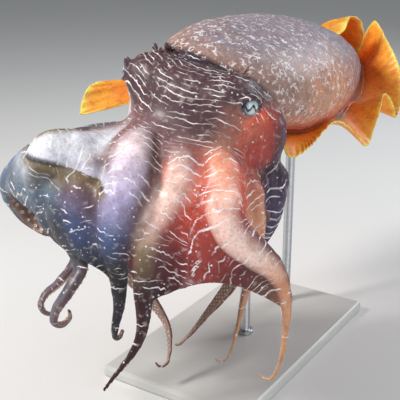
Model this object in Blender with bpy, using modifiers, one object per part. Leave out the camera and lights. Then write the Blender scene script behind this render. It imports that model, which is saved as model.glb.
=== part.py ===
"""Giant Australian cuttlefish at life size, its arms spread like an umbrella, on a plain display stand.

The animal is laid out in its own body frame, in metres: the origin is midway between the eyes, -Y is
ahead, +X is its left side and +Z is up. The head hangs from the mantle, so its crown of arms opens
downwards. One empty rolls and pitches that frame and lifts it over the stand. The world origin is the
middle of the underside of the stand's base.
"""
import math

import bmesh
import bpy
import numpy as np
from mathutils import Matrix, Vector

# Pose of the body over the stand
GAP = 0.0003
ROLL = math.radians(16)
PITCH = math.radians(-5)
BODY_PLACE = Vector((0.0, -0.085, 0.294))

# Stand
BASE_SIZE = (0.16, 0.27, 0.012)
BASE_EDGE = 0.003
ROD_RADIUS = 0.005
ROD_PLACES = {"stand_rod_front": (0.004, 0.0), "stand_rod_rear": (0.004, 0.092)}

# Mantle: stations from the open front rim to the tail
MANTLE_FRONT = 0.033
MANTLE_BACK = 0.345
MANTLE_STATIONS = (0.0, 0.06, 0.14, 0.25, 0.38, 0.52, 0.66, 0.79, 0.9, 0.97, 1.0)
MANTLE_HALF_WIDTH = (0.063, 0.070, 0.076, 0.079, 0.077, 0.070, 0.059, 0.045, 0.029, 0.016, 0.005)
MANTLE_UP = (0.020, 0.031, 0.040, 0.047, 0.051, 0.051, 0.046, 0.037, 0.025, 0.013, 0.004)
MANTLE_DOWN = (0.042, 0.050, 0.056, 0.058, 0.055, 0.048, 0.039, 0.029, 0.019, 0.011, 0.004)
MANTLE_MIDDLE = (0.0, 0.0, 0.0, 0.0, 0.0, -0.001, -0.003, -0.006, -0.010, -0.013, -0.015)
MANTLE_SLANT = 1.15
NAPE_LOBE = 0.016
RIM_LIP = 0.005
RECESS = 0.024
MANTLE_SIDES = 24

# Fins: where each starts on the mantle, how it waves, reaches and fans out, by place along the body
FIN_THICK_ROOT = 0.0042
FIN_THICK_EDGE = 0.0014
FIN_STEPS = 34
FIN_ROWS = 3
FIN_SPAN = 0.052
FIN_START = 0.03
FIN_END = 0.985
FIN_ROUNDING = 0.036
FIN_ROOT = ((0.0, -44), (0.1, -38), (0.3, -31), (0.7, -28), (0.9, -14), (1.0, -8))
FIN_WAVES = {
    "left": ((0.07, -12), (0.095, -20), (0.112, -2), (0.14, 34), (0.165, 14), (0.184, -16), (0.2, 2),
             (0.217, 44), (0.25, 0), (0.275, 25), (0.31, 78), (0.345, 115)),
    "right": ((0.07, -36), (0.085, -33), (0.097, -25), (0.106, -17), (0.123, -20), (0.15, -34), (0.18, -38),
              (0.20, -10), (0.235, -28), (0.262, -20), (0.275, 90), (0.284, 155), (0.3, 150), (0.31, 156),
              (0.32, 167), (0.345, 180)),
}
FIN_REACHES = {
    "left": ((0.07, 0.85), (0.11, 0.66), (0.14, 0.62), (0.165, 0.75), (0.184, 0.97), (0.2, 0.84),
             (0.225, 0.95), (0.25, 1.1), (0.28, 1.05), (0.315, 1.12), (0.345, 1.45)),
    "right": ((0.07, 2.2), (0.088, 2.15), (0.097, 2.13), (0.106, 2.02), (0.114, 1.8), (0.123, 1.6),
              (0.145, 1.2), (0.17, 1.05), (0.22, 0.9), (0.245, 0.7), (0.27, 0.4), (0.281, 1.0),
              (0.29, 1.42), (0.3, 1.65),
              (0.308, 1.68), (0.318, 1.48), (0.327, 1.2), (0.336, 0.85), (0.345, 0.6)),
}
FIN_FANS = {
    "left": ((0.07, -46), (0.145, -46), (0.168, -34), (0.19, -8), (0.215, 4), (0.25, 8), (0.31, 28),
             (0.345, 66)),
    "right": ((0.07, -46), (0.123, -42), (0.15, -20), (0.19, 0), (0.25, 10), (0.345, 10)),
}

# Crown of arms
CROWN_DROP = math.radians(78)
CROWN_YAW = math.radians(10)
CROWN_REACH = 0.056
CROWN_RING = 0.041

# Head: ellipsoids as (centre, radii), fused and smoothed; left ones are mirrored to the right
HEAD_TURN = Matrix.Rotation(math.radians(-8), 3, "Y")
HEAD_MIDDLE_FORMS = (
    ((0.0, -0.002, -0.004), (0.050, 0.042, 0.026)),
    ((0.003, 0.002, -0.030), (0.058, 0.048, 0.034)),
    ((0.008, -0.010, -0.056), (0.060, 0.057, 0.028)),
    ((0.0, 0.034, -0.006), (0.047, 0.046, 0.024)),
)
HEAD_SIDE_FORMS = (
    ((0.043, -0.008, -0.003), (0.0255, 0.030, 0.0255)),
    ((0.046, 0.024, -0.036), (0.032, 0.037, 0.039)),
)
HEAD_VOXEL = 0.0028
HEAD_FACES = 540

# Eyes
EYE_PLACE = Vector((0.0558, -0.0147, -0.0020))
EYE_RADIUS = 0.0120
EYE_SEGMENTS = 16
EYE_LOOK = Vector((0.88, -0.46, 0.05))
LID_WIDE = math.radians(54)
LID_TALL = math.radians(38)
LID_UPPER = 0.0030
LID_LOWER = 0.0019

# Arms: angle round the crown from the front, width, keel, degrees of curl at the tip, route of the middle
ARM_PARTS = ("base", "mid", "tip")
ARM_SPLITS = (0.0, 0.36, 0.68, 1.0)
ARM_SIDES = 8
ARM_RINGS = (7, 7, 11)
ARM_PLACES = (0.0, 0.2, 0.4, 0.55, 0.7, 0.85, 1.0)
ARM_TAPER = (0.80, 0.98, 1.0, 0.76, 0.41, 0.21, 0.09)
STOUT_TAPER = (0.80, 0.98, 1.0, 0.86, 0.66, 0.46, 0.17)
STOUT_ARMS = ("R2", "R3")
KEEL_PLACES = (0.0, 0.12, 0.3, 0.5, 0.75, 1.0)
KEEL_SHARES = (0.3, 0.9, 1.0, 1.0, 0.5, 0.2)
BLADE_PLACES = (0.0, 0.12, 0.22, 0.32, 0.40, 0.50, 1.0)
BLADE_SHARES = (0.2, 0.7, 1.0, 0.7, 0.05, 0.0, 0.0)
BLADE_TURNS = (0, 40, 66, 56, 20, 0, 0)
ARM_ABORAL = 0.38
ARM_ORAL = 0.13
CURL_RADIUS = 0.0075
CURL_STEPS = 4
ORAL_AIM = 0.03
MOST_FOLD = 0.75
TIP_CROWDING = 0.75
ARMS = {
    "L1": (22, 0.031, 0.0, 40, ((0.039, -0.058, -0.048), (0.047, -0.069, -0.065), (0.047, -0.081, -0.082),
            (0.047, -0.089, -0.100), (0.052, -0.095, -0.117), (0.061, -0.101, -0.143),
            (0.075, -0.110, -0.180), (0.071, -0.133, -0.220))),
    "L2": (67, 0.034, 0.0, 150, ((0.065, -0.038, -0.043), (0.080, -0.049, -0.056), (0.088, -0.060, -0.068),
            (0.100, -0.060, -0.080), (0.117, -0.050, -0.091), (0.137, -0.039, -0.103),
            (0.152, -0.035, -0.121), (0.164, -0.036, -0.151), (0.172, -0.046, -0.182))),
    "L3": (112, 0.030, 0.15, 110, ((0.066, -0.005, -0.048), (0.079, -0.010, -0.061),
            (0.089, -0.011, -0.076), (0.097, -0.009, -0.096), (0.105, -0.010, -0.122),
            (0.111, -0.014, -0.156), (0.118, -0.020, -0.187), (0.121, -0.026, -0.206))),
    "L4": (157, 0.040, 0.45, 60, ((0.073, 0.043, -0.064), (0.083, 0.039, -0.092), (0.083, 0.031, -0.128),
            (0.082, 0.020, -0.169), (0.075, 0.006, -0.202), (0.069, -0.013, -0.229))),
    "R1": (-22, 0.043, 0.0, 170, ((-0.000, -0.069, -0.052), (0.008, -0.081, -0.061),
            (0.015, -0.092, -0.072), (0.018, -0.100, -0.085), (0.020, -0.102, -0.102),
            (0.022, -0.101, -0.123), (0.029, -0.091, -0.153), (0.037, -0.090, -0.179),
            (0.042, -0.094, -0.200))),
    "R2": (-67, 0.030, -1.5, 250, ((-0.038, -0.081, -0.064), (-0.046, -0.099, -0.064),
            (-0.056, -0.110, -0.069), (-0.063, -0.112, -0.083), (-0.059, -0.107, -0.111),
            (-0.041, -0.105, -0.131), (-0.014, -0.101, -0.143), (-0.000, -0.104, -0.155),
            (0.003, -0.118, -0.173), (0.002, -0.128, -0.192))),
    "R3": (-112, 0.034, 0.15, 210, ((-0.071, -0.052, -0.080), (-0.092, -0.063, -0.099),
            (-0.109, -0.071, -0.118), (-0.117, -0.071, -0.140), (-0.104, -0.063, -0.159),
            (-0.079, -0.054, -0.168), (-0.052, -0.052, -0.171), (-0.033, -0.063, -0.179),
            (-0.030, -0.085, -0.195), (-0.032, -0.101, -0.207))),
    "R4": (-157, 0.042, 0.45, 160, ((-0.047, 0.009, -0.120), (-0.050, -0.002, -0.163),
            (-0.015, -0.008, -0.194), (0.023, -0.011, -0.210), (0.048, -0.010, -0.227),
            (0.062, -0.017, -0.250))),
}

# Suckers in two staggered rows along each arm's oral face, as shares of the arm's half width
SUCKER_SPACING = 0.0108
SUCKER_START = 0.17
SUCKER_END = 0.985
SUCKER_RADIUS = 0.17
SUCKER_LEAST = 0.0007
SUCKER_HEIGHT = 1.0
SUCKER_ROOT = 0.8
SUCKER_ROW = 0.33
SUCKER_FACE = 0.235
SUCKER_SIDES = 5
SUCKER_SPREAD = 0.08
SUCKER_LEAST_ROOM = 0.5
SUCKER_SEED = 5

# Webs between neighbouring arms, as the share of each arm's length that they reach, and how far they bulge
WEBS = {
    "web_R1_L1": ("R1", 0.74, "L1", 0.66, 0.001),
    "web_L1_L2": ("L1", 0.67, "L2", 0.72, 0.003),
    "web_L2_L3": ("L2", 0.50, "L3", 0.52, 0.003),
    "web_L3_L4": ("L3", 0.42, "L4", 0.44, 0.003),
    "web_R2_R1": ("R2", 0.70, "R1", 0.74, 0.014),
    "web_R3_R2": ("R3", 0.57, "R2", 0.60, 0.012),
    "web_R4_R3": ("R4", 0.44, "R3", 0.46, 0.006),
}
WEB_THICK = 0.0026
WEB_START = 0.08
WEB_HOLLOW = 0.12
WEB_LEVEL = 0.15
SWELL_EARLY = (0.0, 0.5)
SWELL_LATE = (0.45, 0.85)
FOLD_PLACES = (0.0, 0.12, 0.36, 0.50, 1.0)
FOLD_LEVELS = (0.1, -0.15, -0.2, 0.0, 0.15)
FOLD_DIP = 0.015
FOLD_LEDGE = 0.007
WEB_ROWS = 7
FOLD_ROWS = 12
WEB_COLUMNS = 5

# Funnel and mouth
FUNNEL_START = Vector((0.0, 0.092, -0.031))
FUNNEL_END = Vector((0.0, 0.066, -0.084))
FUNNEL_RADII = (0.0150, 0.0100)
FUNNEL_BORE = 0.0062
MOUTH_DEPTH = 0.018
BEAK_LENGTH = 0.011

# Colours of the materials
SKIN = (0.33, 0.17, 0.12)
HEAD_SKIN = (0.20, 0.10, 0.10)
ARM_SKIN = (0.55, 0.33, 0.28)
FIN_SKIN = (0.80, 0.34, 0.08)
EYE_SKIN = (0.45, 0.58, 0.66)
BEAK_HORN = (0.05, 0.03, 0.025)
STEEL = (0.55, 0.56, 0.58)
BASE_GREY = (0.60, 0.60, 0.58)


def clear_scene():
    for obj in list(bpy.data.objects):
        bpy.data.objects.remove(obj)


def new_collection(name):
    collection = bpy.data.collections.new(name)
    bpy.context.scene.collection.children.link(collection)
    return collection


def material(name, colour, roughness, metallic=0.0):
    made = bpy.data.materials.new(name)
    made.use_nodes = True
    shader = made.node_tree.nodes["Principled BSDF"]
    shader.inputs["Base Color"].default_value = (*colour, 1.0)
    shader.inputs["Roughness"].default_value = roughness
    shader.inputs["Metallic"].default_value = metallic
    return made


def curve_through(places, values, at):
    """Smooth cubic curve through values at places, read at the given places."""
    places = np.asarray(places, float)
    values = np.asarray(values, float)
    flat = values.ndim == 1
    if flat:
        values = values[:, None]
    at = np.atleast_1d(np.asarray(at, float))
    slopes = np.gradient(values, places, axis=0)
    left = np.clip(np.searchsorted(places, at, side="right") - 1, 0, len(places) - 2)
    width = (places[left + 1] - places[left])[:, None]
    f = (at[:, None] - places[left][:, None]) / width
    ends = values[left] * (2 * f**3 - 3 * f**2 + 1) + values[left + 1] * (3 * f**2 - 2 * f**3)
    bends = width * (slopes[left] * (f**3 - 2 * f**2 + f) + slopes[left + 1] * (f**3 - f**2))
    out = ends + bends
    return out[:, 0] if flat else out


def ramp(value, low, high):
    """Smooth step from 0 at low to 1 at high."""
    f = np.clip((value - low) / (high - low), 0, 1)
    return f * f * (3 - 2 * f)


def unit(vectors):
    vectors = np.asarray(vectors, float)
    return vectors / np.linalg.norm(vectors, axis=-1, keepdims=True)


def loft(rings):
    """Points and faces of a closed form over equal rings, with a fan to the middle of each end."""
    rings = np.asarray(rings)
    count, sides = rings.shape[:2]
    points = np.concatenate([rings.reshape(-1, 3), rings[:1].mean(axis=1), rings[-1:].mean(axis=1)])
    first, last = count * sides, count * sides + 1
    faces = []
    for k in range(sides):
        n = (k + 1) % sides
        for row in range(count - 1):
            a, b = row * sides, (row + 1) * sides
            faces.append((a + k, a + n, b + n))
            faces.append((a + k, b + n, b + k))
        faces.append((first, n, k))
        faces.append((last, (count - 1) * sides + k, (count - 1) * sides + n))
    return points, faces


def add_object(name, points, faces, collection, finish=None):
    mesh = bpy.data.meshes.new(name)
    mesh.from_pydata([tuple(p) for p in points], [], [tuple(f) for f in faces])
    shape = bmesh.new()
    shape.from_mesh(mesh)
    bmesh.ops.recalc_face_normals(shape, faces=shape.faces)
    if shape.calc_volume(signed=True) < 0:
        bmesh.ops.reverse_faces(shape, faces=shape.faces)
    shape.to_mesh(mesh)
    shape.free()
    obj = bpy.data.objects.new(name, mesh)
    collection.objects.link(obj)
    if finish:
        mesh.materials.append(finish)
    return obj


def bake_modifiers(obj):
    """Makes the object's evaluated mesh its own and drops its modifiers."""
    bpy.context.view_layer.update()
    graph = bpy.context.evaluated_depsgraph_get()
    mesh = bpy.data.meshes.new_from_object(obj.evaluated_get(graph))
    old = obj.data
    obj.modifiers.clear()
    obj.data = mesh
    bpy.data.meshes.remove(old)


def keep_largest(obj):
    """Keeps only the largest closed surface of the object's mesh."""
    shape = bmesh.new()
    shape.from_mesh(obj.data)
    bmesh.ops.remove_doubles(shape, verts=shape.verts, dist=1e-6)
    bmesh.ops.triangulate(shape, faces=shape.faces)
    left = set(shape.faces)
    islands = []
    while left:
        edge = [left.pop()]
        island = set(edge)
        while edge:
            face = edge.pop()
            for side in face.edges:
                for other in side.link_faces:
                    if other in left:
                        left.remove(other)
                        island.add(other)
                        edge.append(other)
        volume = sum(f.verts[0].co.dot(f.verts[1].co.cross(f.verts[2].co)) for f in island) / 6
        islands.append((abs(volume), island))
    best = max(islands, key=lambda pair: pair[0])[1]
    bmesh.ops.delete(shape, geom=[f for f in shape.faces if f not in best], context="FACES")
    loose = [v for v in shape.verts if not v.link_faces]
    bmesh.ops.delete(shape, geom=loose, context="VERTS")
    shape.to_mesh(obj.data)
    shape.free()


def boolean(obj, operands, operation, solver="EXACT"):
    """Applies one Boolean with a collection of closed meshes, then removes those."""
    group = bpy.data.collections.new("operands")
    bpy.context.scene.collection.children.link(group)
    for other in operands:
        for home in list(other.users_collection):
            home.objects.unlink(other)
        group.objects.link(other)
    step = obj.modifiers.new(operation.lower(), "BOOLEAN")
    step.operation = operation
    step.solver = solver
    step.operand_type = "COLLECTION"
    step.collection = group
    bake_modifiers(obj)
    for other in operands:
        bpy.data.objects.remove(other)
    bpy.data.collections.remove(group)
    keep_largest(obj)


# Mantle

def mantle_rings(grow=0.0):
    """Rings of the mantle's outer surface. The rim slants, upper side ahead, with a lobe over the nape."""
    angles = 2 * np.pi * np.arange(MANTLE_SIDES) / MANTLE_SIDES
    return np.array([[mantle_point(t, a, grow) for a in angles] for t in MANTLE_STATIONS])


def mantle_point(t, angle, grow=0.0):
    half = curve_through(MANTLE_STATIONS, MANTLE_HALF_WIDTH, t)[0] + grow
    up = curve_through(MANTLE_STATIONS, MANTLE_UP, t)[0] + grow
    down = curve_through(MANTLE_STATIONS, MANTLE_DOWN, t)[0] + grow
    middle = curve_through(MANTLE_STATIONS, MANTLE_MIDDLE, t)[0]
    c, s = math.cos(angle), math.sin(angle)
    x = half * math.copysign(abs(c) ** 0.88, c)
    z = (up if s > 0 else down) * math.copysign(abs(s) ** 0.96, s)
    slant = MANTLE_SLANT * (1 - t) ** 2.2
    lobe = NAPE_LOBE * max(0.0, s) ** 6 * (1 - t) ** 3
    y = MANTLE_FRONT + (MANTLE_BACK - MANTLE_FRONT) * t - slant * z - lobe
    return np.array([x, y, z + middle])


def mantle_form(grow=0.0):
    outer = mantle_rings(grow)
    outer[0][:, 1] = mantle_rings()[0][:, 1] - grow
    rim = outer[0]
    middle = rim.mean(axis=0)
    inwards = unit((middle - rim) * np.array([1.0, 0.0, 1.0]))
    bulge = rim + np.array([0.0, -0.0015, 0.0]) + inwards * (0.4 * RIM_LIP + grow)
    inner = rim + np.array([0.0, 0.0015, 0.0]) + inwards * (RIM_LIP + 2 * grow)
    floor = middle + (rim - middle) * 0.80 + inwards * 2 * grow + np.array([0.0, RECESS - 2 * grow, 0.0])
    inside = middle + (rim - middle) * 0.40 + np.array([0.0, RECESS + 0.004 - 2 * grow, 0.0])
    tail = mantle_point(1.0, 0.0)
    tail[0] = 0.0
    end = outer[-1] * 0.5 + 0.5 * tail + np.array([0.0, 0.003 + grow, 0.0])
    return loft([inside, floor, inner, bulge, *outer, end])


# Head and eyes

def ellipsoid(name, centre, radii, collection, segments=24):
    shape = bmesh.new()
    bmesh.ops.create_uvsphere(shape, u_segments=segments, v_segments=segments // 2, radius=1.0)
    place = Matrix.LocRotScale(Vector(centre), None, Vector(radii))
    bmesh.ops.transform(shape, matrix=place, verts=shape.verts)
    mesh = bpy.data.meshes.new(name)
    shape.to_mesh(mesh)
    shape.free()
    obj = bpy.data.objects.new(name, mesh)
    collection.objects.link(obj)
    return obj


def eye_frame(side):
    """Axes of an eye: out of the head, along the lids' long way, and up."""
    look = unit(HEAD_TURN @ Vector((EYE_LOOK.x * side, EYE_LOOK.y, EYE_LOOK.z)))
    along = unit(np.cross(HEAD_TURN @ Vector((0.0, 0.0, 1.0)), look))
    return look, along, np.cross(look, along)


def eye_centre(side):
    return np.array(HEAD_TURN @ Vector((EYE_PLACE.x * side, EYE_PLACE.y, EYE_PLACE.z)))


def lid_ring(side, collection):
    """One closed fold round the eye, thicker above, lying on the eyeball."""
    look, along, up = eye_frame(side)
    centre = eye_centre(side)
    rings = []
    steps, sides = 16, 6
    for k in range(steps):
        phi = 2 * math.pi * k / steps
        opening = math.atan2(
            1.0, math.hypot(math.cos(phi) / math.tan(LID_WIDE), math.sin(phi) / math.tan(LID_TALL)))
        radial = along * math.cos(phi) + up * math.sin(phi)
        ray = look * math.cos(opening) + radial * math.sin(opening)
        across = radial * math.cos(opening) - look * math.sin(opening)
        thick = LID_LOWER + (LID_UPPER - LID_LOWER) * max(0.0, math.sin(phi))
        middle = centre + ray * (EYE_RADIUS + 0.4 * thick)
        turn = 2 * np.pi * np.arange(sides)[:, None] / sides
        rings.append(middle + thick * (np.cos(turn) * across + np.sin(turn) * ray))
    rings = np.array(rings)
    faces = []
    for k in range(steps):
        n = (k + 1) % steps
        for j in range(sides):
            m = (j + 1) % sides
            faces.append((k * sides + j, k * sides + m, n * sides + m, n * sides + j))
    return add_object("lid", rings.reshape(-1, 3), faces, collection)


def head_blank(collection):
    """The head's ellipsoids fused, smoothed and brought down to few faces."""
    forms = [ellipsoid("form", c, r, collection) for c, r in HEAD_MIDDLE_FORMS]
    for centre, radii in HEAD_SIDE_FORMS:
        for side in (1, -1):
            forms.append(ellipsoid("form", (centre[0] * side, centre[1], centre[2]), radii, collection))
    head = forms.pop(0)
    boolean(head, forms, "UNION")
    head.data.transform(HEAD_TURN.to_4x4())
    remesh = head.modifiers.new("even", "REMESH")
    remesh.mode = "VOXEL"
    remesh.voxel_size = HEAD_VOXEL
    smooth = head.modifiers.new("smooth", "SMOOTH")
    smooth.factor = 0.5
    smooth.iterations = 12
    bake_modifiers(head)
    fewer = head.modifiers.new("fewer", "DECIMATE")
    fewer.ratio = HEAD_FACES / (2 * len(head.data.polygons))
    fewer.use_collapse_triangulate = True
    bake_modifiers(head)
    keep_largest(head)
    return head


def grown_copy(obj, grow, collection):
    """Copy of a closed mesh with each point moved out along its normal."""
    copy = obj.copy()
    copy.data = obj.data.copy()
    collection.objects.link(copy)
    shape = bmesh.new()
    shape.from_mesh(copy.data)
    shape.normal_update()
    moved = [(v, v.normal * grow * v.calc_shell_factor()) for v in shape.verts]
    for vertex, move in moved:
        vertex.co += move
    shape.to_mesh(copy.data)
    shape.free()
    return copy


# Arms

def crown_frame():
    """Middle of the crown of arms, its axis, and its front and left directions."""
    axis = np.array([
        math.sin(CROWN_YAW),
        -math.cos(CROWN_DROP) * math.cos(CROWN_YAW),
        -math.sin(CROWN_DROP) * math.cos(CROWN_YAW)])
    front = np.array([0.0, -math.sin(CROWN_DROP), math.cos(CROWN_DROP)])
    return axis * CROWN_REACH, axis, front, np.cross(front, axis)


def curl_points(before, end, inward, degrees):
    """Points that wind the end of a route inwards on an arc."""
    ahead = unit(end - before)
    side = unit(inward - ahead * (inward @ ahead))
    turns = np.radians(degrees) * np.arange(1, CURL_STEPS + 1) / CURL_STEPS
    return [end + CURL_RADIUS * (ahead * math.sin(a) + side * (1 - math.cos(a))) for a in turns]


def arm_route(name):
    """Places along an arm, as shares of its length, and the points of its centre line, curl included."""
    angle, width, keel, curl, route = ARMS[name]
    middle, axis, front, left = crown_frame()
    spoke = front * math.cos(math.radians(angle)) + left * math.sin(math.radians(angle))
    start = middle + spoke * CROWN_RING * 0.45 - axis * 0.004
    points = [start, middle + spoke * CROWN_RING, *np.array(route)]
    to_axis = middle + axis * ((points[-1] - middle) @ axis) - points[-1]
    points = np.array(points + curl_points(points[-2], points[-1], to_axis, curl))
    places = np.concatenate([[0.0], np.cumsum(np.linalg.norm(np.diff(points, axis=0), axis=1))])
    return places / places[-1], points, places[-1]


def arm_frames(name, at):
    """Frames of an arm at shares of its length: centre, direction, width and oral axes, half width, bend."""
    places, points, length = arm_route(name)
    middle, axis = crown_frame()[:2]
    at = np.asarray(at, float)
    small = 2e-3

    def heading(where):
        ahead = curve_through(places, points, where + small)
        return unit(ahead - curve_through(places, points, where - small))

    centres = curve_through(places, points, at)
    along = heading(at)
    bend = (heading(at + small) - heading(at - small)) / (2 * small * length)
    straight = heading(np.minimum(at, places[-CURL_STEPS - 1]))
    inwards = middle + axis * (((centres - middle) @ axis) + ORAL_AIM)[:, None] - centres
    across = unit(np.cross(straight, inwards))
    oral = unit(np.cross(across, along))
    across = np.cross(along, oral)
    if ARMS[name][2] < 0:
        turn = np.radians(curve_through(BLADE_PLACES, BLADE_TURNS, np.clip(at, 0, 1)))[:, None]
        c, s = np.cos(turn), np.sin(turn)
        across, oral = across * c + oral * s, oral * c - across * s
    taper = STOUT_TAPER if name in STOUT_ARMS else ARM_TAPER
    half = curve_through(ARM_PLACES, taper, np.clip(at, 0, 1)) * ARMS[name][1] / 2
    return centres, along, across, oral, half, bend


def keel_reach(name, at):
    """How far an arm's keel stands out beyond its half width, as a share of that, at shares of its length."""
    if ARMS[name][2] < 0:
        return -ARMS[name][2] * curve_through(BLADE_PLACES, BLADE_SHARES, at)
    return ARMS[name][2] * curve_through(KEEL_PLACES, KEEL_SHARES, at)


def arm_section(half, outer, inner, grow, turn):
    """Point of an arm's section: flat towards the mouth, ridged outside, with thin keels to its sides."""
    c, s = math.cos(turn), math.sin(turn)
    side = half * (1 + (outer if c > 0 else inner))
    across = (side + grow) * math.copysign(abs(c) ** 0.9, c)
    depth = half * 2 * (ARM_ABORAL if s > 0 else ARM_ORAL) + grow
    return across, -depth * math.copysign(abs(s) ** (1.15 if s > 0 else 0.7), s)


def arm_rings(name, start, end, rings, grow=0.0):
    """Rings of one length of an arm. In a hard bend the inner side is drawn in, so no ring folds over.

    A length that another one follows ends on that one's first ring, moved back by the gap.
    """
    share = np.linspace(0, 1, rings)
    at = start + (end - start) * (share ** TIP_CROWDING if end == 1.0 else share)
    centres, along, across, oral, half, bend = arm_frames(name, at)
    reach = keel_reach(name, at)
    outer, inner = (0 * reach, reach) if ARMS[name][2] < 0 else (reach, 0 * reach)
    outward = 1 if ARMS[name][0] > 0 else -1
    rows = np.empty((rings, ARM_SIDES, 3))
    for i in range(rings):
        for k in range(ARM_SIDES):
            u, v = arm_section(half[i], outer[i], inner[i], grow, 2 * math.pi * k / ARM_SIDES)
            offset = across[i] * u * outward + oral[i] * v
            fold = bend[i] @ offset
            most = MOST_FOLD + grow * np.linalg.norm(bend[i])
            rows[i, k] = centres[i] + offset * (most / fold if fold > most else 1.0)
    rows[0] -= along[0] * grow
    rows[-1] += along[-1] * (grow - (GAP if end < 1.0 else 0.0))
    return rows


def arm_object(name, part, collection, finish, grow=0.0):
    rings = arm_rings(name, ARM_SPLITS[part], ARM_SPLITS[part + 1], ARM_RINGS[part], grow)
    points, faces = loft(rings)
    return add_object(f"arm_{name}_{ARM_PARTS[part]}", points, faces, collection, finish)


def sucker_places(name):
    """Shares of an arm's length where its suckers sit."""
    length = arm_route(name)[2]
    count = int((SUCKER_END - SUCKER_START) * length / SUCKER_SPACING) + 1
    return np.linspace(SUCKER_START, SUCKER_END, count)


def clear_of_others(name, foot, radius):
    """Whether a sucker stays clear of every other arm."""
    at = np.linspace(0.0, 1.0, 80)
    for other in ARMS:
        if other != name:
            centres, along, across, oral, half = arm_frames(other, at)[:5]
            reach = half * (1 + keel_reach(other, at))
            if (np.linalg.norm(centres - foot, axis=1) < reach + 1.3 * radius).any():
                return False
    return True


def sucker_forms(name, part, collection):
    """Suckers of one length of an arm: short cups with a dimpled top, rooted in the arm's flat face."""
    draws = np.random.default_rng((SUCKER_SEED, list(ARMS).index(name), part))
    start, end = ARM_SPLITS[part], ARM_SPLITS[part + 1]
    length = arm_route(name)[2]
    at = sucker_places(name)
    centres, along, across, oral, half, bend = arm_frames(name, at)
    squeeze = 1 - np.einsum("ij,ij->i", bend, oral) * half * (SUCKER_FACE + SUCKER_RADIUS)
    turn = 2 * np.pi * np.arange(SUCKER_SIDES)[:, None] / SUCKER_SIDES
    made = []
    for i, share in enumerate(at):
        size, shift = 1 + SUCKER_SPREAD * draws.uniform(-1, 1, 2)
        radius = max(SUCKER_RADIUS * half[i], SUCKER_LEAST) * size
        room = 1.4 * radius / length / max(squeeze[i], SUCKER_LEAST_ROOM)
        if squeeze[i] < SUCKER_LEAST_ROOM or not start + room < share < end - (room if end < 1.0 else 0.0):
            continue
        row = 1 if i % 2 else -1
        foot = centres[i] + across[i] * (row * SUCKER_ROW * shift * half[i]) + oral[i] * SUCKER_FACE * half[i]
        if not clear_of_others(name, foot, radius):
            continue
        around = np.cos(turn) * along[i] + np.sin(turn) * across[i]
        top = SUCKER_HEIGHT * radius
        steps = ((-SUCKER_ROOT * radius, 0.75 * radius), (top, radius))
        points, faces = loft([foot + oral[i] * height + around * wide for height, wide in steps])
        points[-1] -= oral[i] * 0.55 * top
        made.append(add_object("sucker", points, faces, collection))
    return made


# Webs

def sheet(middle, thickness):
    """Closed thin form over a grid of points, with both faces split into like triangles."""
    rows, columns = middle.shape[:2]
    down = np.gradient(middle, axis=0)
    side = np.gradient(middle, axis=1)
    normal = unit(np.cross(down, side))
    half = 0.5 * thickness[..., None] * normal
    points = np.concatenate([(middle + half).reshape(-1, 3), (middle - half).reshape(-1, 3)])
    under = rows * columns
    faces = []
    for i in range(rows - 1):
        for j in range(columns - 1):
            a, b = i * columns + j, i * columns + j + 1
            c, d = a + columns + 1, a + columns
            faces += [(a, b, c), (a, c, d)]
            faces += [(under + a, under + c, under + b), (under + a, under + d, under + c)]
    edge = [j for j in range(columns)]
    edge += [i * columns + columns - 1 for i in range(1, rows)]
    edge += [(rows - 1) * columns + j for j in range(columns - 2, -1, -1)]
    edge += [i * columns for i in range(rows - 2, 0, -1)]
    for a, b in zip(edge, edge[1:] + edge[:1]):
        faces += [(a, under + a, under + b), (a, under + b, b)]
    return points, faces


def web_form(first, first_reach, second, second_reach, bulge, thick=WEB_THICK):
    """Sheet between two arms that bulges a little outwards and ends in a hollow margin.

    Beside an arm with a blade it starts behind that blade and dips in under it.
    """
    share = np.linspace(0, 1, WEB_COLUMNS)
    hollow = np.sin(np.pi * share)
    bladed = ARMS[first][2] < 0
    rows = FOLD_ROWS if bladed else WEB_ROWS
    row = np.linspace(0, 1, rows)
    swell = bulge * ramp(row, *(SWELL_LATE if bladed else SWELL_EARLY))[:, None] * hollow
    if bladed:
        crease = FOLD_LEDGE * np.exp(-((row - 0.37) / 0.08) ** 2)
        crease -= FOLD_DIP * np.exp(-((row - 0.49) / 0.09) ** 2)
        swell = swell + crease[:, None] * np.maximum(hollow, 0) ** 0.5
    middle = np.empty((rows, WEB_COLUMNS, 3))
    for j, f in enumerate(share):
        back = 1 - WEB_HOLLOW * hollow[j]
        places = np.linspace(WEB_START, first_reach * back, rows)
        a = arm_frames(first, places)
        b = arm_frames(second, np.linspace(WEB_START, second_reach * back, rows))
        level = curve_through(FOLD_PLACES, FOLD_LEVELS, places) if bladed else np.full(rows, WEB_LEVEL)
        edge_a = a[0] - a[3] * (level * a[4])[:, None]
        edge_b = b[0] - b[3] * (WEB_LEVEL * b[4])[:, None]
        inward = unit(a[3] + b[3])
        middle[:, j] = edge_a * (1 - f) + edge_b * f - inward * swell[:, j:j + 1]
    return sheet(middle, np.full(middle.shape[:2], thick))


# Fins

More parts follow.
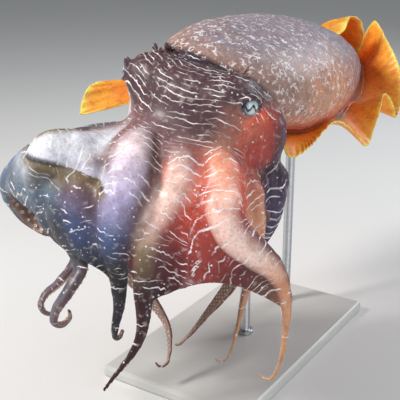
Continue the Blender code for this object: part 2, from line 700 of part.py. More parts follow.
def fin_form(side):
    """Waved sheet along one side of the mantle, from its rim to past the tail."""
    t = np.linspace(FIN_START, FIN_END, FIN_STEPS)
    low = np.radians(curve_through(*zip(*FIN_ROOT), t))
    root = np.array([mantle_point(a, b) for a, b in zip(t, low)])
    y = np.clip(root[:, 1], FIN_WAVES[side][0][0], FIN_WAVES[side][-1][0])
    wave = np.radians(curve_through(*zip(*FIN_WAVES[side]), y))
    ends = np.minimum((t - FIN_START) / FIN_ROUNDING, 2 * (FIN_END - t) / FIN_ROUNDING)
    rounding = np.sqrt(1 - (1 - np.clip(ends, 0.15, 1)) ** 2)
    reach = curve_through(*zip(*FIN_REACHES[side]), y) * FIN_SPAN * rounding
    fan = np.radians(curve_through(*zip(*FIN_FANS[side]), y))
    level = np.stack([np.cos(fan), np.sin(fan), 0 * fan], axis=1)
    up = np.array([0.0, 0.0, 1.0])
    share = np.linspace(0, 1, FIN_ROWS + 1)
    grid = np.empty((FIN_STEPS, FIN_ROWS + 2, 3))
    place = root.copy()
    grid[:, 0] = root - level * 0.004
    grid[:, 1] = root
    for j in range(1, FIN_ROWS + 1):
        bend = (wave * min(1.0, 0.45 + 0.75 * share[j]))[:, None]
        step = reach[:, None] * (share[j] - share[j - 1])
        place = place + step * (level * np.cos(bend) + up * np.sin(bend))
        grid[:, j + 1] = place
    if side == "right":
        grid[..., 0] *= -1
    thickness = np.interp(np.linspace(0, 1, FIN_ROWS + 2), (0, 1), (FIN_THICK_ROOT, FIN_THICK_EDGE))
    return sheet(grid, np.broadcast_to(thickness, grid.shape[:2]))


# Funnel and mouth

def funnel_form():
    """Short tapered tube with an open bore, under the head."""
    start, end = np.array(FUNNEL_START), np.array(FUNNEL_END)
    way = unit(end - start)
    side = np.array([1.0, 0.0, 0.0])
    up = np.cross(side, way)
    turn = 2 * np.pi * np.arange(16)[:, None] / 16
    around = np.cos(turn) * side + np.sin(turn) * up
    length = np.linalg.norm(end - start)
    steps = ((0.0, FUNNEL_RADII[0]), (0.4, FUNNEL_RADII[0] * 0.96), (0.8, FUNNEL_RADII[1] * 1.08),
             (1.0, FUNNEL_RADII[1]), (1.0, FUNNEL_BORE), (0.7, FUNNEL_BORE * 0.9))
    return loft([start + way * length * f + around * r for f, r in steps])


def mouth_objects(collection, finish, horn):
    """Rounded mouth with a ring of lip, and the two hooked halves of the beak."""
    middle, axis, front, left = crown_frame()
    turn = 2 * np.pi * np.arange(14)[:, None] / 14
    around = np.cos(turn) * front + np.sin(turn) * left
    profile = ((-0.012, 0.010), (0.006, 0.0142), (0.014, 0.0150), (0.021, 0.0122), (0.0245, 0.0082),
               (0.0225, 0.0058), (0.019, 0.0050))
    rings = [middle + axis * (d + MOUTH_DEPTH) + around * r for d, r in profile]
    mouth = add_object("buccal_mass", *loft(rings), collection, finish)
    beaks = []
    root = middle + axis * (0.019 + MOUTH_DEPTH + GAP)
    for name, way, wide in (("beak_upper", 1.0, 0.0040), ("beak_lower", -1.0, 0.0034)):
        rows = []
        for f in np.linspace(0, 1, 5):
            size = wide * (1 - f) ** 0.7 + 0.0005
            place = root + axis * (BEAK_LENGTH * f) + front * way * (0.00235 + 0.0006 * f - 0.0017 * f * f)
            rows.append([place + left * size * 0.9 * math.cos(a) + front * size * 0.50 * math.sin(a)
                         for a in 2 * np.pi * np.arange(8) / 8])
        beaks.append(add_object(name, *loft(rows), collection, horn))
    return [mouth, *beaks]


# Stand

def stand_base(collection, finish):
    shape = bmesh.new()
    bmesh.ops.create_cube(shape, size=1.0)
    bmesh.ops.scale(shape, vec=Vector(BASE_SIZE), verts=shape.verts)
    bmesh.ops.translate(shape, vec=Vector((0, 0, BASE_SIZE[2] / 2)), verts=shape.verts)
    mesh = bpy.data.meshes.new("stand_base")
    shape.to_mesh(mesh)
    shape.free()
    base = bpy.data.objects.new("stand_base", mesh)
    collection.objects.link(base)
    mesh.materials.append(finish)
    bevel = base.modifiers.new("edge", "BEVEL")
    bevel.width = BASE_EDGE
    bevel.segments = 2
    return base


def stand_rod(name, place, collection, finish):
    """Rod from the base up to the underside of the mantle, which trims its top."""
    top = 0.30
    start = BASE_SIZE[2] + GAP
    shape = bmesh.new()
    bmesh.ops.create_cone(
        shape, cap_ends=True, segments=20, radius1=ROD_RADIUS, radius2=ROD_RADIUS, depth=top - start)
    bmesh.ops.translate(shape, vec=Vector((*place, (top + start) / 2)), verts=shape.verts)
    mesh = bpy.data.meshes.new(name)
    shape.to_mesh(mesh)
    shape.free()
    rod = bpy.data.objects.new(name, mesh)
    collection.objects.link(rod)
    mesh.materials.append(finish)
    return rod


def shade(obj):
    obj.data.shade_smooth()
    obj.data.set_sharp_from_angle(angle=math.radians(50))


def build():
    clear_scene()
    parts = new_collection("cuttlefish")
    cutters = new_collection("cutters")
    skin = material("mantle_skin", SKIN, 0.4)
    head_skin = material("head_skin", HEAD_SKIN, 0.4)
    arm_skin = material("arm_skin", ARM_SKIN, 0.4)
    fin_skin = material("fin_skin", FIN_SKIN, 0.4)
    eye_skin = material("eye", EYE_SKIN, 0.1)
    horn = material("beak_horn", BEAK_HORN, 0.3)
    steel = material("rod_steel", STEEL, 0.3, 1.0)
    grey = material("base_grey", BASE_GREY, 0.5)

    mantle = add_object("mantle", *mantle_form(), parts, skin)

    head = head_blank(cutters)
    head.name = "head"
    lids = [lid_ring(side, cutters) for side in (1, -1)]
    boolean(head, lids, "UNION")
    eyes = []
    for side, name in ((1, "eye_left"), (-1, "eye_right")):
        eyes.append(ellipsoid(name, eye_centre(side), (EYE_RADIUS,) * 3, parts, EYE_SEGMENTS))
        eyes[-1].data.materials.append(eye_skin)
    sockets = [ellipsoid("socket", eye_centre(side), (EYE_RADIUS + GAP,) * 3, cutters, EYE_SEGMENTS)
               for side in (1, -1)]
    boolean(head, [*sockets, add_object("cut", *mantle_form(2 * GAP), cutters)], "DIFFERENCE")
    for home in list(head.users_collection):
        home.objects.unlink(head)
    parts.objects.link(head)
    head.data.materials.clear()
    head.data.materials.append(head_skin)

    arms = {}
    for name in ARMS:
        for part, _ in enumerate(ARM_PARTS):
            arms[name, part] = arm_object(name, part, parts, arm_skin)
    for (name, part), arm in arms.items():
        boolean(arm, sucker_forms(name, part, cutters), "UNION", "MANIFOLD")
    names = list(ARMS)
    for i, name in enumerate(names):
        for part in (0, 1):
            cuts = [arm_object(other, piece, cutters, None, GAP) for other in names[:i] for piece in (0, 1)]
            if part == 0:
                cuts.append(grown_copy(head, GAP, cutters))
            if cuts:
                boolean(arms[name, part], cuts, "DIFFERENCE", "MANIFOLD")

    flesh = [mantle, head, *eyes, *arms.values()]
    for name, spans in WEBS.items():
        web = add_object(name, *web_form(*spans), parts, arm_skin)
        cuts = [grown_copy(head, GAP, cutters)]
        for other in list(WEBS.values())[:list(WEBS).index(name)]:
            if {spans[0], spans[2]} & {other[0], other[2]}:
                cuts.append(add_object("cut", *web_form(*other, WEB_THICK + 2 * GAP), cutters))
        for arm in names:
            for part, _ in enumerate(ARM_PARTS):
                cuts += [arm_object(arm, part, cutters, None, GAP), grown_copy(arms[arm, part], GAP, cutters)]
        boolean(web, cuts, "DIFFERENCE", "MANIFOLD")
        flesh.append(web)

    for side in ("left", "right"):
        fin = add_object(f"fin_{side}", *fin_form(side), parts, fin_skin)
        boolean(fin, [add_object("cut", *mantle_form(GAP), cutters)], "DIFFERENCE")
        flesh.append(fin)

    funnel = add_object("funnel", *funnel_form(), parts, skin)
    cuts = [add_object("cut", *mantle_form(2 * GAP), cutters), grown_copy(head, GAP, cutters)]
    boolean(funnel, cuts, "DIFFERENCE")
    mouth = mouth_objects(parts, arm_skin, horn)
    cuts = [grown_copy(head, GAP, cutters)]
    cuts += [arm_object(arm, 0, cutters, None, GAP) for arm in names]
    boolean(mouth[0], cuts, "DIFFERENCE")
    flesh += [funnel, *mouth]

    pose = bpy.data.objects.new("body_pose", None)
    parts.objects.link(pose)
    pose.location = BODY_PLACE
    pose.rotation_euler = (PITCH, ROLL, 0.0)
    for obj in flesh:
        obj.parent = pose

    stand_base(parts, grey)
    for name, place in ROD_PLACES.items():
        rod = stand_rod(name, place, parts, steel)
        cut = add_object("cut", *mantle_form(GAP), cutters)
        cut.parent = pose
        boolean(rod, [cut], "DIFFERENCE")
    for obj in parts.objects:
        if obj.type == "MESH":
            shade(obj)


build()
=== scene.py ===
"""Looks of the giant Australian cuttlefish: one wet skin over all its flesh, suckers, eyes, beak and stand.

The animal's forms are laid out in its body frame, in metres, as in the frame's own solids: the origin is
midway between the eyes, -Y is ahead, +X is its left side and +Z is up. BODY rolls them and lifts them over
the stand.
"""
import math

import bmesh
import bpy
import numpy as np
from mathutils import Euler, Matrix, Vector
from mathutils.bvhtree import BVHTree


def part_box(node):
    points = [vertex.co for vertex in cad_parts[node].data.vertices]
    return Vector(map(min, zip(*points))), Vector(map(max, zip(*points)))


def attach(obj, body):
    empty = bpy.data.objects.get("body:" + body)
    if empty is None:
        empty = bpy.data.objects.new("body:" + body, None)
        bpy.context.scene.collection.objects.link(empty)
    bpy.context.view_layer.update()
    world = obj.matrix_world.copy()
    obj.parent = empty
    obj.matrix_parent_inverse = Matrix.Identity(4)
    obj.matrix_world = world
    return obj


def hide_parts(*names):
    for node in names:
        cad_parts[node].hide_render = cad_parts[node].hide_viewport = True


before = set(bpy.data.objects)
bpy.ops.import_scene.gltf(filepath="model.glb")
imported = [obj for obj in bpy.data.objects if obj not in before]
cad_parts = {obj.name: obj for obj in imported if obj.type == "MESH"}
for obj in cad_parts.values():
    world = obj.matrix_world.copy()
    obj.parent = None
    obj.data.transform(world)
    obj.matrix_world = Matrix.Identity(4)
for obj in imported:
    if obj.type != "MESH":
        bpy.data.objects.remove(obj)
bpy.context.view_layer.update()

# Pose of the body over the stand
BODY_PLACE = Vector((0.0, -0.085, 0.294))
BODY = Matrix.Translation(BODY_PLACE) @ Euler((math.radians(-5), math.radians(16), 0.0)).to_matrix().to_4x4()

# Camera: degrees off the front and above, distance from the head, and where the head sits in the picture
CAMERA_AZIMUTH = math.radians(33)
CAMERA_ELEVATION = math.radians(20)
CAMERA_DISTANCE = 0.720
PICTURE_SIDE = 400
HEAD_PIXEL = (198, 84)
PIXEL_AT_HEAD = 0.00087
SENSOR = 36.0

# Mantle: stations from the open front rim to the tail
MANTLE_FRONT = 0.033
MANTLE_BACK = 0.345
MANTLE_STATIONS = (0.0, 0.06, 0.14, 0.25, 0.38, 0.52, 0.66, 0.79, 0.9, 0.97, 1.0)
MANTLE_HALF_WIDTH = (0.063, 0.070, 0.076, 0.079, 0.077, 0.070, 0.059, 0.045, 0.029, 0.016, 0.005)
MANTLE_UP = (0.020, 0.031, 0.040, 0.047, 0.051, 0.051, 0.046, 0.037, 0.025, 0.013, 0.004)
MANTLE_DOWN = (0.042, 0.050, 0.056, 0.058, 0.055, 0.048, 0.039, 0.029, 0.019, 0.011, 0.004)
MANTLE_MIDDLE = (0.0, 0.0, 0.0, 0.0, 0.0, -0.001, -0.003, -0.006, -0.010, -0.013, -0.015)
MANTLE_SLANT = 1.15
NAPE_LOBE = 0.016
RIM_LIP = 0.005
RECESS = 0.024

# Fins: where each starts on the mantle, how it waves, reaches and fans out, by place along the body
FIN_SPAN = 0.052
FIN_START = 0.03
FIN_END = 0.985
FIN_ROUNDING = 0.036
FIN_ROOT = ((0.0, -44), (0.1, -38), (0.3, -31), (0.7, -28), (0.9, -14), (1.0, -8))
FIN_WAVES = {
    "left": ((0.07, -12), (0.095, -20), (0.112, -2), (0.14, 34), (0.165, 14), (0.184, -16), (0.2, 2),
             (0.217, 44), (0.25, 0), (0.275, 25), (0.31, 78), (0.345, 115)),
    "right": ((0.07, -36), (0.085, -33), (0.097, -25), (0.106, -17), (0.123, -20), (0.15, -34), (0.18, -38),
              (0.20, -10), (0.235, -28), (0.262, -20), (0.275, 90), (0.284, 155), (0.3, 150), (0.31, 156),
              (0.32, 167), (0.345, 180)),
}
FIN_REACHES = {
    "left": ((0.07, 0.85), (0.11, 0.66), (0.14, 0.62), (0.165, 0.75), (0.184, 0.97), (0.2, 0.84),
             (0.225, 0.95), (0.25, 1.1), (0.28, 1.05), (0.315, 1.12), (0.345, 1.45)),
    "right": ((0.07, 2.2), (0.088, 2.15), (0.097, 2.13), (0.106, 2.02), (0.114, 1.8), (0.123, 1.6),
              (0.145, 1.2), (0.17, 1.05), (0.22, 0.9), (0.245, 0.7), (0.27, 0.4), (0.281, 1.0), (0.29, 1.42),
              (0.3, 1.65), (0.308, 1.68), (0.318, 1.48), (0.327, 1.2), (0.336, 0.85), (0.345, 0.6)),
}
FIN_FANS = {
    "left": ((0.07, -46), (0.145, -46), (0.168, -34), (0.19, -8), (0.215, 4), (0.25, 8), (0.31, 28),
             (0.345, 66)),
    "right": ((0.07, -46), (0.123, -42), (0.15, -20), (0.19, 0), (0.25, 10), (0.345, 10)),
}

# Head, crown of arms and eyes
HEAD_TURN = np.array(Matrix.Rotation(math.radians(-8), 3, "Y"))
HEAD_FORMS = (
    ((0.0, -0.002, -0.004), (0.050, 0.042, 0.026)),
    ((0.003, 0.002, -0.030), (0.058, 0.048, 0.034)),
    ((0.008, -0.010, -0.056), (0.060, 0.057, 0.028)),
    ((0.0, 0.034, -0.006), (0.047, 0.046, 0.024)),
    ((0.043, -0.008, -0.003), (0.0255, 0.030, 0.0255)),
    ((0.046, 0.024, -0.036), (0.032, 0.037, 0.039)),
    ((-0.043, -0.008, -0.003), (0.0255, 0.030, 0.0255)),
    ((-0.046, 0.024, -0.036), (0.032, 0.037, 0.039)),
)
CROWN_DROP = math.radians(78)
CROWN_YAW = math.radians(10)
CROWN_REACH = 0.056
CROWN_RING = 0.041
EYE_PLACE = (0.0558, -0.0147, -0.0020)
EYE_LOOK = (0.88, -0.46, 0.05)
EYE_RADIUS = 0.0120
LID_WIDE = math.radians(54)
LID_TALL = math.radians(38)

# Arms: angle round the crown from the front, width, keel, degrees of curl at the tip, route in millimetres.
# A keel below zero is a blade on the arm's inner side.
ARM_PLACES = (0.0, 0.2, 0.4, 0.55, 0.7, 0.85, 1.0)
ARM_TAPER = (0.80, 0.98, 1.0, 0.76, 0.41, 0.21, 0.09)
STOUT_TAPER = (0.80, 0.98, 1.0, 0.86, 0.66, 0.46, 0.17)
STOUT_ARMS = ("R2", "R3")
KEEL_PLACES = (0.0, 0.12, 0.3, 0.5, 0.75, 1.0)
KEEL_SHARES = (0.3, 0.9, 1.0, 1.0, 0.5, 0.2)
BLADE_PLACES = (0.0, 0.12, 0.22, 0.32, 0.40, 0.50, 1.0)
BLADE_SHARES = (0.2, 0.7, 1.0, 0.7, 0.05, 0.0, 0.0)
BLADE_TURNS = (0, 40, 66, 56, 20, 0, 0)
ARM_ABORAL = 0.38
ARM_ORAL = 0.13
CURL_RADIUS = 0.0075
CURL_STEPS = 4
ORAL_AIM = 0.03
MOST_FOLD = 0.75
ARMS = {
    "L1": (22, 0.031, 0.0, 40, (
        (39, -58, -48), (47, -69, -65), (47, -81, -82), (47, -89, -100), (52, -95, -117), (61, -101, -143),
        (75, -110, -180), (71, -133, -220))),
    "L2": (67, 0.034, 0.0, 150, (
        (65, -38, -43), (80, -49, -56), (88, -60, -68), (100, -60, -80), (117, -50, -91), (137, -39, -103),
        (152, -35, -121), (164, -36, -151), (172, -46, -182))),
    "L3": (112, 0.030, 0.15, 110, (
        (66, -5, -48), (79, -10, -61), (89, -11, -76), (97, -9, -96), (105, -10, -122), (111, -14, -156),
        (118, -20, -187), (121, -26, -206))),
    "L4": (157, 0.040, 0.45, 60, (
        (73, 43, -64), (83, 39, -92), (83, 31, -128), (82, 20, -169), (75, 6, -202), (69, -13, -229))),
    "R1": (-22, 0.043, 0.0, 170, (
        (0, -69, -52), (8, -81, -61), (15, -92, -72), (18, -100, -85), (20, -102, -102), (22, -101, -123),
        (29, -91, -153), (37, -90, -179), (42, -94, -200))),
    "R2": (-67, 0.030, -1.5, 250, (
        (-38, -81, -64), (-46, -99, -64), (-56, -110, -69), (-63, -112, -83), (-59, -107, -111),
        (-41, -105, -131), (-14, -101, -143), (0, -104, -155), (3, -118, -173), (2, -128, -192))),
    "R3": (-112, 0.034, 0.15, 210, (
        (-71, -52, -80), (-92, -63, -99), (-109, -71, -118), (-117, -71, -140), (-104, -63, -159),
        (-79, -54, -168), (-52, -52, -171), (-33, -63, -179), (-30, -85, -195), (-32, -101, -207))),
    "R4": (-157, 0.042, 0.45, 160, (
        (-47, 9, -120), (-50, -2, -163), (-15, -8, -194), (23, -11, -210), (48, -10, -227), (62, -17, -250))),
}
WEBS = {
    "web_R1_L1": ("R1", 0.74, "L1", 0.66, 0.001),
    "web_L1_L2": ("L1", 0.67, "L2", 0.72, 0.003),
    "web_L2_L3": ("L2", 0.50, "L3", 0.52, 0.003),
    "web_L3_L4": ("L3", 0.42, "L4", 0.44, 0.003),
    "web_R2_R1": ("R2", 0.70, "R1", 0.74, 0.014),
    "web_R3_R2": ("R3", 0.57, "R2", 0.60, 0.012),
    "web_R4_R3": ("R4", 0.44, "R3", 0.46, 0.006),
}
WEB_THICK = 0.0034
WEB_START = 0.06
WEB_HOLLOW = 0.12
WEB_LEVEL = 0.15
SWELL_EARLY = (0.0, 0.5)
SWELL_LATE = (0.45, 0.85)
FOLD_PLACES = (0.0, 0.12, 0.36, 0.50, 1.0)
FOLD_LEVELS = (0.1, -0.15, -0.2, 0.0, 0.15)
FOLD_DIP = 0.015
FOLD_LEDGE = 0.007

# Funnel and mouth
FUNNEL_START = np.array((0.0, 0.092, -0.031))
FUNNEL_END = np.array((0.0, 0.066, -0.084))
MOUTH_DEPTH = 0.018

# Skin flaps over each eye: place in the head, lean and size
FLAPS = (((0.040, 0.007, 0.0215), 0.35, 1.0), ((0.049, -0.001, 0.0200), 0.10, 0.85),
         ((0.036, -0.011, 0.0210), -0.25, 0.75))

# Colours of skin and eyes, from 0 to 255
COLOURS = {
    "rose_white": (255, 236, 242),
    "ice": (242, 246, 255),
    "lavender": (190, 182, 222),
    "sky": (142, 168, 220),
    "steel_blue": (68, 94, 140),
    "slate": (92, 110, 128),
    "grey": (106, 108, 120),
    "charcoal": (44, 44, 52),
    "ink": (22, 20, 30),
    "indigo": (66, 54, 84),
    "mauve": (178, 148, 158),
    "dusk": (104, 78, 84),
    "cream": (255, 220, 206),
    "salmon": (255, 172, 142),
    "peach": (220, 156, 120),
    "tan": (196, 148, 98),
    "ochre": (122, 108, 80),
    "umber": (96, 60, 52),
    "scarlet": (210, 76, 46),
    "brick": (164, 64, 56),
    "maroon": (96, 34, 38),
    "wine": (50, 18, 26),
    "mantle_front": (158, 126, 114),
    "mantle_side": (204, 146, 112),
    "mantle_tail_tone_and_shade": (96, 84, 112),
    "mantle_blotch": (226, 148, 104),
    # Purple towards the tail, with painted shade in it
    "mantle_top": (118, 124, 146),
    # Pale underside, paler still as painted light from below
    "mantle_under_pale_and_lit": (236, 172, 144),
    "mantle_rim": (70, 40, 36),
    "beside_fin": (196, 74, 40),
    "head": (82, 56, 62),
    "head_low": (138, 96, 94),
    "head_blotch": (54, 32, 38),
    "nape": (38, 24, 40),
    "cheek": (212, 76, 46),
    "under_eye": (236, 92, 56),
    # Painted light at the crease: a painted highlight above it, a painted shadow below it, dark painted shade
    # in its line
    "painted_highlight_over_crease": (232, 236, 255),
    "painted_shade_under_crease": (128, 112, 80),
    "crease": (40, 34, 36),
    "mouth_side": (190, 158, 146),
    "fin_root": (160, 56, 30),
    "fin_middle": (240, 138, 40),
    "fin_outer": (252, 176, 56),
    "fin_rim": (255, 222, 104),
    "fin_streak": (224, 112, 34),
    "iris": (196, 214, 216),
    "iris_outer": (84, 106, 128),
    "iris_fleck": (206, 216, 210),
    "pupil": (10, 11, 14),
    # Dark edge of the eyeball: the lid's dark margin with painted shade under the lids
    "eye_rim_and_shade": (22, 24, 44),
}

# Colours of the arms at shares of their length, on the ridge and in the groove beside it: the arms' own tones
# with painted highlight on the ridge, and painted shade in the groove and on the lower parts of the arms.
# Each ridge is turned about its arm by so many degrees, and neighbours run into each other by their distance
# to that power.
ARM_STOPS = (0.05, 0.22, 0.38, 0.50, 0.63, 0.95)
ARM_RIDGE_TONES_AND_HIGHLIGHTS = {
    "L1": ("mauve", "cream", "cream", "ochre", "wine", "wine"),
    "L2": ("peach", "salmon", "cream", "cream", "peach", "tan"),
    "L3": ("brick", "brick", "peach", "peach", "peach", "tan"),
    "L4": ("indigo", "indigo", "indigo", "dusk", "dusk", "ochre"),
    "R1": ("mauve", "rose_white", "lavender", "steel_blue", "ink", "charcoal"),
    "R2": ("mauve", "ice", "ice", "slate", "charcoal", "grey"),
    "R3": ("mauve", "ice", "sky", "slate", "charcoal", "grey"),
    "R4": ("dusk", "dusk", "dusk", "dusk", "umber", "dusk"),
}
ARM_GROOVE_TONES_AND_SHADE = {
    "L1": ("umber", "scarlet", "brick", "maroon", "wine", "wine"),
    "L2": ("umber", "scarlet", "brick", "maroon", "umber", "tan"),
    "L3": ("maroon", "maroon", "maroon", "brick", "umber", "ochre"),
    "L4": ("wine", "wine", "indigo", "indigo", "umber", "umber"),
    "R1": ("umber", "umber", "dusk", "indigo", "ink", "charcoal"),
    "R2": ("dusk", "dusk", "ochre", "slate", "charcoal", "dusk"),
    "R3": ("dusk", "grey", "grey", "slate", "charcoal", "dusk"),
    "R4": ("umber", "dusk", "umber", "umber", "maroon", "umber"),
}
ARM_BLEND = 7
RIDGE_TURNS = {"L1": -10, "L2": -30, "L3": -24, "L4": 0, "R1": 8, "R2": 0, "R3": 0, "R4": 0}

# Crease in the web before the second right arm, along which light and shade are painted: its line, and how
# flat distances to it are measured
CREASE = np.array(((-0.068, -0.122, -0.079), (-0.042, -0.122, -0.0745), (-0.0195, -0.118, -0.0745),
                   (0.003, -0.112, -0.077)))
CREASE_FLAT = np.array((1.0, 0.35, 1.0))

# Places in the head, left side, with radii
CHEEK = ((0.060, 0.010, -0.036), (0.034, 0.048, 0.042))
UNDER_EYE = ((0.064, -0.006, -0.014), (0.016, 0.022, 0.014))
PLAIN_CHEEK = ((0.064, 0.012, -0.036), (0.030, 0.046, 0.042))
DARK_NAPE = ((0.0, 0.004, 0.024), (0.06, 0.024, 0.024))
FOLDED_NAPE = ((0.0, 0.0, 0.022), (0.055, 0.022, 0.02))

# White lines across head and arms
HEAD_LINE_SPACING = 0.0046
ARM_LINE_SPACING = 0.0062
ARM_LINE_SAG = 0.0035

# Relief of the skin: size of its lumps and how far they stand out
HEAD_LUMPS = (0.0075, 0.0009)
HEAD_WARTS = (0.0042, 0.0022)
NAPE_FOLDS = (0.0042, 0.0007)
MANTLE_LUMPS = (0.011, 0.0005)
MANTLE_WARTS = (0.005, 0.0010)
ARM_LUMPS = (0.006, 0.0005)
FIN_RIPPLES = 46
FIN_RIPPLE_RISE = 0.00045

# Lights: place, size, power and colour
LIGHTS = {
    "key": ((-0.75, -0.95, 1.20), 0.40, 27.0, (1.0, 0.97, 0.94)),
    "fill": ((1.35, -0.55, 0.55), 1.0, 8.0, (0.94, 0.96, 1.0)),
    "rim": ((0.5, 1.25, 1.1), 0.8, 13.0, (0.94, 0.96, 1.0)),
}
SKY_COLOUR = (0.78, 0.82, 0.86, 1.0)
SKY_STRENGTH = 0.30

# Fineness of the skin
VOXEL = 0.0012
BLANK_VOXEL = 0.0030
BLANK_ROUNDS = 90


def curve_through(places, values, at):
    """Smooth cubic curve through values at places, read at the given places."""
    places = np.asarray(places, float)
    values = np.asarray(values, float)
    flat = values.ndim == 1
    if flat:
        values = values[:, None]
    at = np.atleast_1d(np.asarray(at, float))
    slopes = np.gradient(values, places, axis=0)
    left = np.clip(np.searchsorted(places, at, side="right") - 1, 0, len(places) - 2)
    width = (places[left + 1] - places[left])[:, None]
    f = (at[:, None] - places[left][:, None]) / width
    ends = values[left] * (2 * f**3 - 3 * f**2 + 1) + values[left + 1] * (3 * f**2 - 2 * f**3)
    bends = width * (slopes[left] * (f**3 - 2 * f**2 + f) + slopes[left + 1] * (f**3 - f**2))
    out = ends + bends
    return out[:, 0] if flat else out


def unit(vectors):
    vectors = np.asarray(vectors, float)
    return vectors / np.maximum(np.linalg.norm(vectors, axis=-1, keepdims=True), 1e-12)


def ramp(value, low, high):
    """Smooth step from 0 at low to 1 at high."""
    f = np.clip((value - low) / (high - low), 0, 1)
    return f * f * (3 - 2 * f)


def circle(sides, first, second):
    """Steps all round, from one direction towards another."""
    turn = 2 * np.pi * np.arange(sides)[:, None] / sides
    return np.cos(turn) * first + np.sin(turn) * second


def grid_normals(grid):
    return unit(np.cross(np.gradient(grid, axis=0), np.gradient(grid, axis=1)))


def squares_between(some, others):
    """Squared distances from some points to all the others."""
    return (some**2).sum(1)[:, None] + (others**2).sum(1)[None] - 2 * some @ others.T


# Closed forms, each as points and faces

def loft(rings):
    """Closed form over equal rings, with a fan to the middle of each end."""
    rings = np.asarray(rings)
    count, sides = rings.shape[:2]
    points = np.concatenate([rings.reshape(-1, 3), rings[:1].mean(axis=1), rings[-1:].mean(axis=1)])
    first, last = count * sides, count * sides + 1
    k = np.arange(sides)
    n = (k + 1) % sides
    rows = np.arange(count - 1)[:, None] * sides
    quads = np.stack([rows + k, rows + n, rows + sides + n, rows + sides + k], axis=-1).reshape(-1, 4)
    end = (count - 1) * sides
    fans = [(first, b, a) for a, b in zip(k, n)] + [(last, end + a, end + b) for a, b in zip(k, n)]
    return points, [*quads.tolist(), *fans]


def sheet(middle, thickness):
    """Closed thin form over a grid of points."""
    rows, columns = middle.shape[:2]
    half = 0.5 * np.broadcast_to(thickness, (rows, columns))[..., None] * grid_normals(middle)
    points = np.concatenate([(middle + half).reshape(-1, 3), (middle - half).reshape(-1, 3)])
    under = rows * columns
    i, j = np.meshgrid(np.arange(rows - 1), np.arange(columns - 1), indexing="ij")
    a = (i * columns + j).ravel()
    quads = np.stack([a, a + 1, a + columns + 1, a + columns], axis=-1)
    faces = [*quads.tolist(), *(quads[:, ::-1] + under).tolist()]
    edge = list(range(columns))
    edge += [i * columns + columns - 1 for i in range(1, rows)]
    edge += [(rows - 1) * columns + j for j in range(columns - 2, -1, -1)]
    edge += [i * columns for i in range(rows - 2, 0, -1)]
    faces += [(a, under + a, under + b, b) for a, b in zip(edge, edge[1:] + edge[:1])]
    return points, faces


def ball(centre, radii, steps=40):
    """Ellipsoid."""
    up = np.linspace(-math.pi / 2, math.pi / 2, steps // 2 + 1)[1:-1, None, None]
    turn = 2 * np.pi * np.arange(steps)[None, :, None] / steps
    level = np.cos(up)
    shape = np.concatenate([level * np.cos(turn), level * np.sin(turn), np.sin(up) + 0 * turn], axis=2)
    return loft(np.asarray(centre) + shape * np.asarray(radii))


def ring_form(rings):
    """Closed ring over equal sections, the last joined to the first."""
    rings = np.asarray(rings)
    count, sides = rings.shape[:2]
    i, j = np.meshgrid(np.arange(count), np.arange(sides), indexing="ij")
    n, m = (i + 1) % count, (j + 1) % sides
    quads = np.stack([i * sides + j, i * sides + m, n * sides + m, n * sides + j], axis=-1).reshape(-1, 4)
    return rings.reshape(-1, 3), quads.tolist()


# Mantle and fins

def mantle_points(t, angle):
    """Points of the mantle's outer surface at shares of its length and angles round it."""
    t, angle = np.broadcast_arrays(np.asarray(t, float), np.asarray(angle, float))
    flat = t.ravel()
    rows = (MANTLE_HALF_WIDTH, MANTLE_UP, MANTLE_DOWN, MANTLE_MIDDLE)
    half, up, down, middle = (curve_through(MANTLE_STATIONS, row, flat).reshape(t.shape) for row in rows)
    c, s = np.cos(angle), np.sin(angle)
    x = half * np.sign(c) * np.abs(c) ** 0.88
    z = np.where(s > 0, up, down) * np.sign(s) * np.abs(s) ** 0.96
    y = MANTLE_FRONT + (MANTLE_BACK - MANTLE_FRONT) * t - MANTLE_SLANT * (1 - t) ** 2.2 * z
    y = y - NAPE_LOBE * np.maximum(0.0, s) ** 6 * (1 - t) ** 3
    return np.stack([x, y, z + middle], axis=-1)


def mantle_form(rows=150, sides=120):
    turn = 2 * np.pi * np.arange(sides)[None, :] / sides
    outer = mantle_points(np.linspace(0.004, 1, rows)[:, None], turn)
    rim = outer[0]
    middle = rim.mean(axis=0)
    inwards = unit((middle - rim) * np.array([1.0, 0.0, 1.0]))
    bulge = rim + np.array([0.0, -0.0015, 0.0]) + inwards * 0.4 * RIM_LIP
    inner = rim + np.array([0.0, 0.0015, 0.0]) + inwards * RIM_LIP
    floor = middle + (rim - middle) * 0.80 + np.array([0.0, RECESS, 0.0])
    inside = middle + (rim - middle) * 0.40 + np.array([0.0, RECESS + 0.004, 0.0])
    tail = mantle_points(1.0, 0.0)
    tail[0] = 0.0
    end = outer[-1] * 0.5 + 0.5 * tail + np.array([0.0, 0.003, 0.0])
    return loft([inside, floor, inner, bulge, *outer, end])


